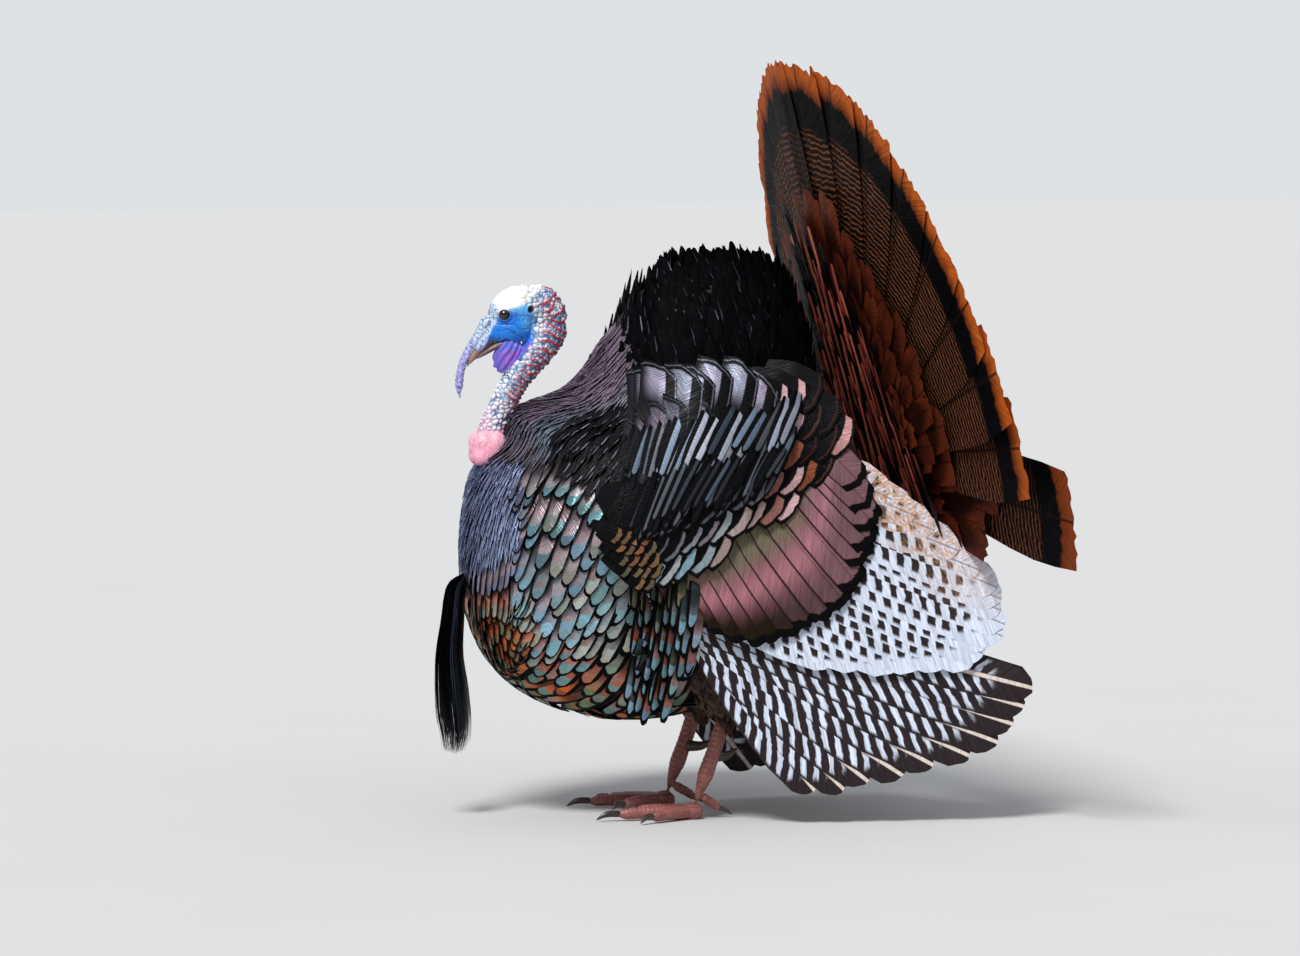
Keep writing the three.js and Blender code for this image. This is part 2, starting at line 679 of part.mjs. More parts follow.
add("torso", fuse([torso, ...humpFeathers()]), COLOURS.bronze);
add("neck", neck, COLOURS.skinWhite);
const head = fuse([headSolid(), ...lids(), ...earRims()]);
add(
  "head",
  carve(head, neckClear, billClear, eyesClear, snoodSolid(GAP), gape(), ...earCups()),
  COLOURS.skinBlue,
);
add("bill_upper", carve(upperBill(), snoodSolid(GAP), neckClear, ...nostrils()), COLOURS.horn, 0.45);
add("bill_lower", carve(lowerBill(), upperBill(GAP), neckClear), COLOURS.horn, 0.45);
add("snood", snoodSolid(), COLOURS.skinViolet, 0.6);
add(
  "dewlap",
  carve(dewlapSolid(), headSolid(GAP), neckClear, ...neckBeads(GAP), billClear),
  COLOURS.skinViolet,
  0.6,
);
add("caruncles", carve(fuse(caruncleLobes()), torsoClear), COLOURS.skinPink, 0.5);
add("beard", carve(beardSolid(), torsoClear), COLOURS.black);

const tail = carve(tailSolid(), torsoClear);
add("tail", tail, COLOURS.tail);

for (const [name, side] of [["left", -1], ["right", 1]]) {
  add(`eye_${name}`, eyeSolid(side), COLOURS.eye, 0.1);
  add(`wing_${name}`, carve(wingSolid(side), torsoClear, tail), COLOURS.wing);
  add(`thigh_${name}`, carve(thighSolid(side), torsoClear), COLOURS.bronze);
  add(
    `leg_${name}`,
    carve(legSolid(side), torsoClear, thighSolid(side, GAP), spurSolid(side, GAP), floorCut()),
    COLOURS.leg,
  );
  add(`spur_${name}`, spurSolid(side), COLOURS.horn, 0.4);
}

export default bird;
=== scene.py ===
"""A life-size tom wild turkey in full strut, as a museum shows it.

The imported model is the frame. Lengths here are in millimetres, as in the frame's own
drawing, until a mesh is made, which is in metres. The bird faces -X, its left side is -Y.
"""

from dataclasses import dataclass, replace

import bmesh
import bpy
import numpy as np
from mathutils import Matrix, Vector
from mathutils.bvhtree import BVHTree


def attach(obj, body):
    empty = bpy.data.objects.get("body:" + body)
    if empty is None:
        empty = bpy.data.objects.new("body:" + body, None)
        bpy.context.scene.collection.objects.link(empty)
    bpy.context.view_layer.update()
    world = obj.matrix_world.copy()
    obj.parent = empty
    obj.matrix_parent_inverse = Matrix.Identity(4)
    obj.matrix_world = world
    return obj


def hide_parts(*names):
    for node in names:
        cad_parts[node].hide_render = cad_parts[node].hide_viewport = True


bl_info = {
    "name": "Strutting Wild Turkey",
    "version": (1, 0, 0),
    "blender": (4, 5, 0),
    "location": "3D View > Sidebar > Turkey",
    "description": "Dresses a turkey's solids with skin, feathers, eyes, horn and a stage",
    "category": "Add Mesh",
}

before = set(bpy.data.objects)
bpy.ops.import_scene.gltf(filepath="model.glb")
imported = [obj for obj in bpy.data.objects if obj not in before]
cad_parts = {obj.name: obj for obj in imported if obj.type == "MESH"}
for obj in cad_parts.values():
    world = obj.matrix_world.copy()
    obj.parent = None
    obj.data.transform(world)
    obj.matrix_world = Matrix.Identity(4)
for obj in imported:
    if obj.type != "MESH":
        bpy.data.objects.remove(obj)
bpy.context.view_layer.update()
MM = 0.001
SIDES = {"left": -1, "right": 1}


# ---------- Sizes and colours that a user may change ----------
def linear(red, green, blue):
    """A colour given as 0 to 255 on a screen, as the shader's linear light."""
    share = np.array([red, green, blue]) / 255
    low, high = share / 12.92, ((share + 0.055) / 1.055) ** 2.4
    return tuple(np.where(share <= 0.04045, low, high).tolist())


def colour_property(name, description, red, green, blue):
    default = linear(red, green, blue)
    return bpy.props.FloatVectorProperty(name=name, description=description, subtype="COLOR", size=3, min=0, max=1,
        default=default)


def length_property(name, description, default):
    return bpy.props.FloatProperty(name=name, description=description, subtype="DISTANCE", unit="LENGTH",
        default=default)


class TurkeySizes(bpy.types.PropertyGroup):
    coat_depth: length_property("Coat depth", "How deep the skin lies under the feather tips", 0.007)
    skin_grain: length_property("Skin grain", "Edge of the cells that the head's skin is built of", 0.0009)
    leg_grain: length_property("Leg grain", "Edge of the cells that the legs' skin is built of", 0.0013)
    bristles: bpy.props.IntProperty(name="Bristles", description="Bristles in the beard", default=420)
    seed: bpy.props.IntProperty(name="Seed", description="Start of every random draw", default=7)


class TurkeySkinColours(bpy.types.PropertyGroup):
    crown: colour_property("Crown", "Bare crown of the head", 246, 246, 240)
    face: colour_property("Face", "Face round the eye", 10, 126, 226)
    # face_deep is painted into the face's creases as painted shade, and round the eye as the lids' deeper blue
    face_deep: colour_property("Face, deep", "Creases of the face", 4, 62, 168)
    # face_pale is the paler skin under the crown, and is also laid on in patches as painted highlights
    face_pale: colour_property("Face, pale", "Under the crown and over the cheek", 120, 200, 236)
    throat: colour_property("Throat", "Throat and dewlap", 112, 96, 200)
    throat_bright: colour_property("Throat, bright", "Ridges of the dewlap", 196, 84, 190)
    snood: colour_property("Snood", "Fleshy snood", 172, 166, 220)
    bead: colour_property("Bead", "Beads on the front of the neck", 240, 234, 240)
    bead_pink: colour_property("Bead, pink", "Beads at the foot of the neck", 240, 186, 200)
    crevice: colour_property("Crevice", "Skin between the beads", 58, 96, 138)
    fold_red: colour_property("Red fold", "Folds across the nape", 176, 34, 46)
    caruncle: colour_property("Caruncle", "Bulbs at the foot of the neck", 250, 172, 196)
    under_coat: colour_property("Under the coat", "Skin and down under the feathers", 24, 20, 20)
    leg: colour_property("Leg", "Scaled skin of the legs", 158, 96, 88)


class TurkeyFeatherColours(bpy.types.PropertyGroup):
    black: colour_property("Black", "Velvet black of edges and back", 8, 8, 10)
    teal: colour_property("Teal", "Sheen of the breast", 128, 180, 190)
    copper: colour_property("Copper", "Upper part of the breast feathers", 200, 112, 88)
    orange: colour_property("Orange", "Low on the breast", 206, 96, 40)
    cape: colour_property("Cape", "Fine feathers at the foot of the neck", 150, 144, 158)
    throat: colour_property("Throat", "Fine feathers over the crop", 176, 196, 240)
    pearl: colour_property("Pearl", "Shoulder feathers", 160, 168, 186)
    covert: colour_property("Covert", "Copper-pink wing coverts", 146, 94, 104)
    white: colour_property("White", "White of the flight feathers", 206, 214, 230)
    bar: colour_property("Bar", "Dark bars of the flight feathers", 44, 36, 38)
    tan: colour_property("Tan", "Edges of the inner flight feathers", 196, 146, 108)
    tail: colour_property("Tail", "Brown of the tail", 116, 70, 44)
    tail_dark: colour_property("Tail, dark", "Fine bars of the tail", 26, 16, 12)
    chestnut: colour_property("Chestnut", "Tips of the tail", 186, 90, 34)
    rust: colour_property("Rust", "Tail coverts", 76, 30, 17)
    rump: colour_property("Rump", "Streaks at the foot of the tail", 214, 112, 88)


# ---------- Curves, noise and places ----------
def smooth(value, low, high):
    share = np.clip((np.asarray(value, float) - low) / (high - low), 0, 1)
    return share * share * (3 - 2 * share)


def along(values, share):
    """Values read along a list at shares from 0 to 1."""
    values = np.asarray(values, float)
    at = np.clip(share, 0, 1) * (len(values) - 1)
    first = np.minimum(at.astype(int), len(values) - 2)
    part = at - first
    if values.ndim > 1:
        part = part[..., None]
    return values[first] * (1 - part) + values[first + 1] * part


def mixed(first, second, share):
    """Two colours, or arrays of them, blended by shares."""
    share = np.asarray(share, float)[..., None]
    return np.asarray(first) * (1 - share) + np.asarray(second) * share


def painted(ground, *coats):
    """A ground colour with others laid over it, each as far as its share says."""
    for colour, share in coats:
        ground = mixed(ground, colour, share)
    return ground


def unit(vectors):
    return vectors / np.maximum(np.linalg.norm(vectors, axis=-1, keepdims=True), 1e-9)


def spline(points, share, closed=False):
    """Places at shares of a centripetal Catmull-Rom curve through the points."""
    points = np.asarray(points, float)
    count = len(points)
    spans = count if closed else count - 1
    if closed:
        held = np.vstack([points[-1:], points, points[:2]])
    else:
        held = np.vstack([2 * points[:1] - points[1:2], points, 2 * points[-1:] - points[-2:-1]])
    at = np.mod(share, 1) * spans if closed else np.clip(share, 0, 1) * spans
    first = np.minimum(at.astype(int), spans - 1)
    part = (at - first)[..., None]
    p0, p1, p2, p3 = (held[first + k] for k in range(4))
    gaps = (b - a for a, b in ((p0, p1), (p1, p2), (p2, p3)))
    d0, d1, d2 = (np.maximum(np.linalg.norm(gap, axis=-1, keepdims=True) ** 0.5, 1e-4) for gap in gaps)
    leave = ((p1 - p0) / d0 - (p2 - p0) / (d0 + d1) + (p2 - p1) / d1) * d1
    arrive = ((p2 - p1) / d1 - (p3 - p1) / (d1 + d2) + (p3 - p2) / d2) * d1
    square = -3 * p1 + 3 * p2 - 2 * leave - arrive
    cube = 2 * p1 - 2 * p2 + leave + arrive
    return p1 + part * (leave + part * (square + part * cube))


def draw(cells, seed):
    """A repeatable draw from 0 to 1 for each whole-numbered cell."""
    x, y, z = (cells[..., axis].astype(np.int64) for axis in range(3))
    mixed_up = (x * 73856093) ^ (y * 19349663) ^ (z * 83492791) ^ (seed * 26544357)
    mixed_up = ((mixed_up ^ (mixed_up >> 13)) * 1274126177) & 0x7FFFFFFF
    return ((mixed_up ^ (mixed_up >> 15)) & 0xFFFF) / 65535.0


def cloud(points, size, seed=0):
    """Smooth noise from 0 to 1 with patches of about the size."""
    at = points / size
    base = np.floor(at)
    part = at - base
    part = part * part * (3 - 2 * part)
    total = np.zeros(at.shape[:-1])
    for corner in np.ndindex(2, 2, 2):
        corner = np.array(corner)
        weight = np.prod(np.where(corner, part, 1 - part), axis=-1)
        total += weight * draw(base + corner, seed)
    return total


def beads(points, size, seed=0):
    """Distance to the nearest bead's middle and to the next one, in sizes, and the bead's draw."""
    at = points / size
    base = np.floor(at)
    nearest = np.full(at.shape[:-1], 9.0)
    second = np.full(at.shape[:-1], 9.0)
    chosen = np.zeros(at.shape[:-1])
    for offset in np.ndindex(3, 3, 3):
        cell = base + np.array(offset) - 1
        centre = cell + 0.15 + 0.7 * np.stack([draw(cell, seed + k) for k in (1, 2, 3)], -1)
        apart = np.linalg.norm(at - centre, axis=-1)
        closer = apart < nearest
        second = np.where(closer, nearest, np.minimum(second, apart))
        chosen = np.where(closer, draw(cell, seed + 4), chosen)
        nearest = np.where(closer, apart, nearest)
    return nearest, second, chosen


def inside(outline, x, z):
    """Whether places in the side view lie inside a closed outline."""
    result = np.zeros(np.shape(x), bool)
    for (x0, z0), (x1, z1) in zip(outline, outline[1:] + outline[:1]):
        if z0 != z1:
            crosses = (z0 > z) != (z1 > z)
            result ^= crosses & (x < x0 + (z - z0) * (x1 - x0) / (z1 - z0))
    return result


def guided(guides, x, z):
    """A direction in the side view at each place, blended from guides of [x, z, toward x, toward z]."""
    guides = np.asarray(guides, float)
    apart = (x[:, None] - guides[:, 0]) ** 2 + (z[:, None] - guides[:, 1]) ** 2 + 25
    weight = apart**-1.5
    return unit((weight[..., None] * unit(guides[:, 2:])).sum(1) / weight.sum(1)[:, None])


# ---------- Meshes and objects ----------
def finish_piece(piece, slot, *nodes):
    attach(piece, "root")
    if nodes:
        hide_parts(*nodes)
    return piece


def link(name, mesh, material):
    piece = bpy.data.objects.new(name, mesh)
    bpy.context.scene.collection.objects.link(piece)
    mesh.materials.append(material)
    return piece


def mesh_from(name, points, quads):
    """A smooth-shaded mesh from points in metres and four-cornered faces."""
    mesh = bpy.data.meshes.new(name)
    mesh.vertices.add(len(points))
    mesh.vertices.foreach_set("co", np.asarray(points, np.float32).ravel())
    mesh.loops.add(quads.size)
    mesh.loops.foreach_set("vertex_index", quads.astype(np.int32).ravel())
    mesh.polygons.add(len(quads))
    mesh.polygons.foreach_set("loop_start", np.arange(0, quads.size, 4, dtype=np.int32))
    mesh.polygons.foreach_set("use_smooth", np.ones(len(quads), bool))
    mesh.update(calc_edges=True)
    return mesh


def vertex_values(mesh, key):
    """Each vertex's co or normal."""
    flat = np.zeros(len(mesh.vertices) * 3, np.float32)
    mesh.vertices.foreach_get(key, flat)
    return flat.reshape(-1, 3).astype(float)


def paint(mesh, name, colours):
    """Stores a colour for each vertex."""
    colours = np.asarray(colours, np.float32)
    if colours.shape[1] == 3:
        colours = np.hstack([colours, np.ones((len(colours), 1), np.float32)])
    layer = mesh.attributes.new(name, "FLOAT_COLOR", "POINT")
    layer.data.foreach_set("color", colours.ravel())


def sphere_mesh(sides, rings, place, lying=False):
    """A bmesh sphere, poles up or lying along Y, each vertex moved to where place puts it, in mm."""
    form = bmesh.new()
    bmesh.ops.create_uvsphere(form, u_segments=sides, v_segments=rings, radius=1)
    if lying:
        bmesh.ops.rotate(form, verts=form.verts, matrix=Matrix.Rotation(np.pi / 2, 3, "X"))
    start = np.array([v.co for v in form.verts])
    for vertex, spot in zip(form.verts, place(start)):
        vertex.co = Vector(spot * MM)
    bmesh.ops.recalc_face_normals(form, faces=form.faces)
    for face in form.faces:
        face.smooth = True
    return form


def ellipsoid(centre, radii, pitch=0, sides=48, rings=32):
    """An ellipsoid pitched in the bird's XZ plane by a number of degrees."""
    angle = np.radians(pitch)
    turn = np.array([[np.cos(angle), 0, np.sin(angle)], [0, 1, 0], [-np.sin(angle), 0, np.cos(angle)]])
    return sphere_mesh(sides, rings, lambda p: (p * radii) @ turn.T + centre)


def limb(points, deep, wide, sides=32, rings=48, side=(0, 1, 0), relief=None):
    """A closed limb along a smooth curve, with its half depths and half widths from root to tip."""
    out = np.array(side, float)

    def place(p):
        share = np.arccos(np.clip(p[:, 2], -1, 1)) / np.pi
        ring = np.hypot(p[:, 0], p[:, 1])
        turn = np.arctan2(p[:, 1], p[:, 0])
        swell = np.minimum(1, ring * 2.2)
        ahead = unit(spline(points, share + 0.002) - spline(points, share - 0.002))
        across = unit(out - ahead * (ahead @ out)[:, None])
        up = np.cross(ahead, across)
        extra = relief(share, turn) if relief else 0
        r = swell * (along(deep, share) + extra)
        w = swell * (along(wide, share) + extra)
        middle = spline(points, share)
        return middle + up * (r * np.cos(turn))[:, None] + across * (w * np.sin(turn))[:, None]

    return sphere_mesh(sides, rings, place)


def joined(forms, name):
    """One mesh from several bmeshes, which are freed."""
    mesh = bpy.data.meshes.new(name)
    whole = bmesh.new()
    for form in forms:
        form.to_mesh(mesh)
        form.free()
        whole.from_mesh(mesh)
    whole.to_mesh(mesh)
    whole.free()
    return mesh


def with_modifiers(mesh, *settings):
    """The mesh as a chain of modifiers leaves it."""
    holder = bpy.data.objects.new("holder", mesh)
    bpy.context.scene.collection.objects.link(holder)
    for kind, values in settings:
        modifier = holder.modifiers.new(kind, kind)
        for key, value in values.items():
            setattr(modifier, key, value)
    graph = bpy.context.evaluated_depsgraph_get()
    result = bpy.data.meshes.new_from_object(holder.evaluated_get(graph))
    bpy.data.objects.remove(holder)
    return result


def fused_skin(forms, name, grain, smoothing):
    """Overlapping forms as one closed surface of small even cells."""
    remesh = {"mode": "VOXEL", "voxel_size": grain, "use_smooth_shade": True}
    smoother = {"factor": 0.5, "iterations": smoothing}
    return with_modifiers(joined(forms, name), ("REMESH", remesh), ("SMOOTH", smoother))


# ---------- Shader building ----------
class Wires:
    """Short ways to add and join shader nodes in one tree."""

    def __init__(self, tree):
        self.tree = tree

    def node(self, kind, inputs=None, **settings):
        node = self.tree.nodes.new(kind)
        for key, value in settings.items():
            setattr(node, key, value)
        for key, value in (inputs or {}).items():
            self.put(node.inputs[key], value)
        return node

    def put(self, socket, value):
        if isinstance(value, bpy.types.NodeSocket):
            self.tree.links.new(value, socket)
        elif isinstance(value, (tuple, list)) and len(value) == 3 and socket.type == "RGBA":
            socket.default_value = (*value, 1)
        else:
            socket.default_value = value

    def math(self, operation, *values, clamp=False):
        node = self.node("ShaderNodeMath", operation=operation, use_clamp=clamp)
        for socket, value in zip(node.inputs, values):
            self.put(socket, value)
        return node.outputs[0]

    def times(self, first, *others):
        for other in others:
            first = self.math("MULTIPLY", first, other)
        return first

    def plus(self, *values):
        return self.math("ADD", *values)

    def minus(self, *values, clamp=False):
        return self.math("SUBTRACT", *values, clamp=clamp)

    def mix(self, share, first, second, blend="MIX"):
        node = self.node("ShaderNodeMix", data_type="RGBA", blend_type=blend)
        for key, value in (("Factor", share), (6, first), (7, second)):
            self.put(node.inputs[key], value)
        return node.outputs[2]

    def step(self, value, low, high):
        """0 below low and 1 above high, smooth between."""
        return self.node("ShaderNodeMapRange", {"Value": value, "From Min": low, "From Max": high},
            interpolation_type="SMOOTHSTEP").outputs["Result"]

    def fade(self, colour, other, value, low, high):
        """The colour, giving way to the other one as a value goes from low to high."""
        return self.mix(self.step(value, low, high), colour, other)

    def between(self, value, low, high, soft):
        """1 between low and high, with soft edges."""
        rise = self.step(value, low - soft, low + soft)
        return self.minus(rise, self.step(value, high - soft, high + soft), clamp=True)

    def dimmed(self, colour, dim):
        """The colour times a grey."""
        grey = self.node("ShaderNodeCombineColor", {"Red": dim, "Green": dim, "Blue": dim}).outputs[0]
        return self.mix(1.0, colour, grey, "MULTIPLY")

    def object_place(self):
        return self.node("ShaderNodeTexCoord").outputs["Object"]

    def noise(self, vector, scale, detail=2.0, stretch=(1, 1, 1)):
        at = self.node("ShaderNodeMapping", {"Vector": vector, "Scale": stretch})
        node = self.node("ShaderNodeTexNoise", {"Vector": at.outputs[0], "Scale": scale, "Detail": detail})
        return node.outputs["Fac"]

    def map(self, name):
        return self.node("ShaderNodeUVMap", uv_map=name).outputs["UV"]

    def parts(self, vector):
        node = self.node("ShaderNodeSeparateXYZ", {"Vector": vector})
        return node.outputs["X"], node.outputs["Y"]

    def attribute(self, name, output="Color"):
        return self.node("ShaderNodeAttribute", attribute_name=name).outputs[output]


def node_group(name, inputs, outputs, build):
    """A shader node group, built once. build gets its wires and its input node's outputs."""
    if name in bpy.data.node_groups:
        return bpy.data.node_groups[name]
    tree = bpy.data.node_groups.new(name, "ShaderNodeTree")
    for label, kind, default in inputs:
        socket = tree.interface.new_socket(label, in_out="INPUT", socket_type=kind)
        socket.default_value = default
    for label, kind in outputs:
        tree.interface.new_socket(label, in_out="OUTPUT", socket_type=kind)
    wires = Wires(tree)
    entry = wires.node("NodeGroupInput")
    leave = wires.node("NodeGroupOutput")
    for label, value in build(wires, entry.outputs).items():
        wires.put(leave.inputs[label], value)
    return tree


FLOAT, COLOUR = "NodeSocketFloat", "NodeSocketColor"


def barbs_group():
    """Fine lines along a feather's barbs, read from its map of real lengths."""

    def build(wires, given):
        x, y = wires.parts(wires.map("barb"))

        def lines(across, along_barb, detail):
            at = {"X": wires.times(x, across), "Y": wires.times(y, along_barb)}
            return wires.noise(wires.node("ShaderNodeCombineXYZ", at).outputs[0], 1.0, detail)

        fine = lines(40.0, given["Lines"], 1.0)
        clumps = lines(25.0, wires.times(given["Lines"], 0.3), 2.0)
        shade = wires.step(wires.plus(wires.times(fine, 0.6), wires.times(clumps, 0.4)), 0.3, 0.7)
        return {"Shade": shade, "Height": wires.times(shade, given["Depth"])}

    return node_group("Barbs", [("Lines", FLOAT, 700.0), ("Depth", FLOAT, 1.0)],
        [("Shade", FLOAT), ("Height", FLOAT)], build)


VANE_PLACES = ("Off", "Signed", "Along", "Lip", "Shaft")


def vane_group():
    """A feather's own coordinates: off its shaft, along it, and how near its rounded tip."""

    def build(wires, given):
        across, share = wires.parts(wires.map("vane"))
        signed = wires.minus(wires.times(across, 2.0), 1.0)
        off = wires.math("ABSOLUTE", signed)
        wave = wires.noise(wires.map("barb"), 160.0, 2.0)
        ripple = wires.times(wires.minus(wave, 0.5), given["Ripple"])
        lip = wires.plus(share, wires.times(wires.times(off, off), given["Curve"]))
        shaft = wires.step(off, given["Shaft"], wires.times(given["Shaft"], 1.8))
        found = (off, signed, wires.plus(share, ripple), wires.plus(lip, ripple), wires.minus(1.0, shaft))
        return dict(zip(VANE_PLACES, found))

    return node_group("Vane", [("Ripple", FLOAT, 0.06), ("Curve", FLOAT, 0.12), ("Shaft", FLOAT, 0.035)],
        [(name, FLOAT) for name in VANE_PLACES], build)


class Vane(Wires):
    """Wires of a feather's finish, with the vane's own coordinates and all colours at hand."""

    def __init__(self, tree, settings):
        super().__init__(tree)
        group = self.node("ShaderNodeGroup", node_tree=vane_group())
        for key, value in settings.items():
            self.put(group.inputs[key], value)
        self.off, self.signed, self.along, self.lip, self.shaft = (group.outputs[key] for key in VANE_PLACES)
        self.barb = self.map("barb")
        self.tint, self.tone = self.attribute("tint"), self.attribute("tone")
        self.tint_share, self.tone_share = self.attribute("tint", "Alpha"), self.attribute("tone", "Alpha")
        colours = bpy.context.scene.turkey_feathers
        for name in colours.__annotations__:
            setattr(self, name, tuple(getattr(colours, name)))

    def blackened(self, colour, *edges):
        """The colour, giving way to black where each value goes from low to high."""
        for value, low, high in edges:
            colour = self.fade(colour, self.black, value, low, high)
        return colour


def new_material(name):
    material = bpy.data.materials.new(name)
    material.use_nodes = True
    material.node_tree.nodes.clear()
    return material, Wires(material.node_tree)


def surface(wires, colour, roughness, height=None, depth=0.4, distance=0.001, **plain):
    """The material's one shader. plain are values set on the shader's own sockets."""
    shader = wires.node("ShaderNodeBsdfPrincipled", {"Base Color": colour, "Roughness": roughness})
    for key, value in plain.items():
        wires.put(shader.inputs[key.replace("_", " ")], value)
    if height is not None:
        bump = wires.node("ShaderNodeBump", {"Height": height, "Strength": depth, "Distance": distance})
        wires.put(shader.inputs["Normal"], bump.outputs[0])
    out = wires.node("ShaderNodeOutputMaterial")
    wires.tree.links.new(shader.outputs[0], out.inputs["Surface"])


def feather_material(name, marks, lines=700.0, metal=0.0, rough=0.5, gloss=0.1, depth=0.35, **settings):
    """A feather's finish. marks gives its colour, and settings are the vane group's inputs."""
    material = new_material(name)[0]
    vane = Vane(material.node_tree, settings)
    barbs = vane.node("ShaderNodeGroup", {"Lines": lines}, node_tree=barbs_group())
    shade = barbs.outputs["Shade"]
    colour = vane.dimmed(marks(vane), vane.plus(vane.times(shade, 0.5), 0.75))
    roughness = vane.plus(vane.times(shade, -0.16), rough + 0.08)
    surface(vane, colour, roughness, barbs.outputs["Height"], depth=depth, Metallic=metal, Specular_IOR_Level=gloss)
    return material


# ---------- Feathers ----------
@dataclass
class Look:
    """How one kind of feather is cut and how it lies. Lengths in mm, angles in degrees."""

    across: int = 4
    down: int = 6
    blade: tuple = (0.4, 0.85, 1.0, 0.9)  # width from root to tip, as shares
    rise: tuple = (-6.0, 1.0)  # height over the coat's surface at root and tip
    roll: float = 6.0
    camber: float = 0.1  # share of the half width
    rounding: float = 0.8  # how far the tip's sides are drawn back, in half widths
    ragged: float = 1.0
    thick: float = 0.5
    peak: float = 0.0  # where across the vane, from -1 to 1, its tip reaches furthest


def vane_grid(across, down):
    """The corners of a vane's front and back, sharing their rim, with its faces."""
    cols, rows = across + 1, down + 1
    u = np.tile(np.linspace(-1, 1, cols), rows)
    v = np.repeat(np.linspace(0, 1, rows), cols)
    front = np.arange(rows * cols).reshape(rows, cols)
    inner = front[1:-1, 1:-1]
    back = front.copy()
    back[1:-1, 1:-1] = rows * cols + np.arange(inner.size).reshape(inner.shape)
    faces = []
    for grid, order in ((front, (0, 1, 2, 3)), (back, (0, 3, 2, 1))):
        corners = np.stack([grid[:-1, :-1], grid[:-1, 1:], grid[1:, 1:], grid[1:, :-1]], -1)
        faces.append(corners.reshape(-1, 4)[:, order])
    pick = np.concatenate([front.ravel(), inner.ravel()])
    behind = np.concatenate([np.zeros(rows * cols), np.ones(inner.size)])
    rim = np.ones((rows, cols), bool)
    rim[1:-1, 1:-1] = False
    on_rim = np.concatenate([rim.ravel(), np.zeros(inner.size, bool)])
    return u[pick], v[pick], behind, np.concatenate(faces), on_rim, pick % cols


class Coat:
    """Feathers of one piece, joined in one mesh with their maps and colours."""

    def __init__(self, seed, number=0):
        self.random = np.random.default_rng(seed)
        self.batches = []
        self.count = 0
        self.row(number)

    def row(self, number):
        """Says how many feathers the next draws, sizes and colours are for."""
        self.number = number

    def draws(self):
        return self.random.random(self.number)

    def vary(self, size, low=0.85, extra=0.3):
        """Sizes from low times the size upwards, one for each feather."""
        return size * (low + extra * self.draws())

    def scatter(self, x, z):
        """A move within a box of x by z mm for each feather."""
        return (self.random.random((self.number, 2)) - 0.5) * [x, z]

    def dyed(self, base, spread, share=None):
        """The base colours, each a little lighter or darker, with a share in the fourth value."""
        shade = 1 + spread * (self.random.random((self.number, 1)) * 2 - 1)
        share = self.draws() if share is None else np.broadcast_to(share, self.number)
        return np.hstack([np.clip(np.asarray(base) * shade, 0, 1), share[:, None]])

    def grow(self, look, length, width, place, spots, tint, tone, strip=False, flip=False):
        """Adds a feather for each length. place turns distances along and off the shaft and a
        height into places in mm. spots are the roots on the skin's unwrap. flip is true for
        feathers whose place function mirrors them."""
        u, v, behind, faces, on_rim, column = vane_grid(look.across, look.down)
        number = len(length)
        length, width = (np.broadcast_to(a, number).astype(float)[:, None] for a in (length, width))
        knots = np.linspace(0, 1, len(look.blade))
        half = 0.5 * width * np.interp(v, knots, look.blade)
        jag = self.random.random((number, look.across + 1))[:, column]
        jag *= look.ragged * smooth(v, 0.72, 1)
        off = u * half
        pulled = look.rounding * 0.5 * width * np.abs(u - look.peak) ** 2.2 * smooth(v, 0.45, 1)
        distance = length * v - pulled - jag
        low, high = look.rise
        height = low + (high - low) * v + off * np.sin(np.radians(look.roll)) + look.camber * half * (1 - u * u)
        height = height - behind * look.thick * (1 - 0.6 * v)
        points = place(distance, off, height)
        barb = np.stack([np.abs(off), distance - 0.9 * np.abs(off)], -1) * MM
        barb[..., 1] += self.random.random((number, 1)) * 3
        vane = np.broadcast_to(np.stack([(u + 1) / 2, v], -1), barb.shape)
        if strip:
            cell = (np.arange(number)[:, None] + 0.08 + 0.84 * vane[..., 0]) / number
            bake = np.stack([cell, 0.02 + 0.96 * vane[..., 1]], -1)
        else:
            bake = spots[:, None, :] + 0.003 * (vane - 0.5)
        each = len(u)
        order = np.arange(number)[:, None, None] * each + self.count
        flip = np.broadcast_to(flip, (number,))[:, None, None]
        faces = np.where(flip, faces[None, :, ::-1], faces[None])
        self.count += number * each
        tint, tone = (np.repeat(np.broadcast_to(a, (number, 4)), each, axis=0) for a in (tint, tone))
        self.batches.append({
            "points": points.reshape(-1, 3), "faces": (faces + order).reshape(-1, 4), "tint": tint, "tone": tone,
            "vane": vane.reshape(-1, 2), "barb": barb.reshape(-1, 2), "OFBake": bake.reshape(-1, 2),
            "rim": np.tile(on_rim, number)})

    def piece(self, name, material, slot, *nodes):
        whole = {key: np.concatenate([b[key] for b in self.batches]) for key in self.batches[0]}
        mesh = mesh_from(name, whole["points"] * MM, whole["faces"])
        corners = whole["faces"].ravel()
        for key in ("OFBake", "vane", "barb"):
            layer = mesh.uv_layers.new(name=key)
            layer.uv.foreach_set("vector", whole[key][corners].astype(np.float32).ravel())
        for key in ("tint", "tone"):
            paint(mesh, key, whole[key])
        ends = np.zeros(len(mesh.edges) * 2, np.int32)
        mesh.edges.foreach_get("vertices", ends)
        sharp = mesh.attributes.new("sharp_edge", "BOOLEAN", "EDGE")
        sharp.data.foreach_set("value", whole["rim"][ends.reshape(-1, 2)].all(1))
        return finish_piece(link(name, mesh, material), slot, *nodes)


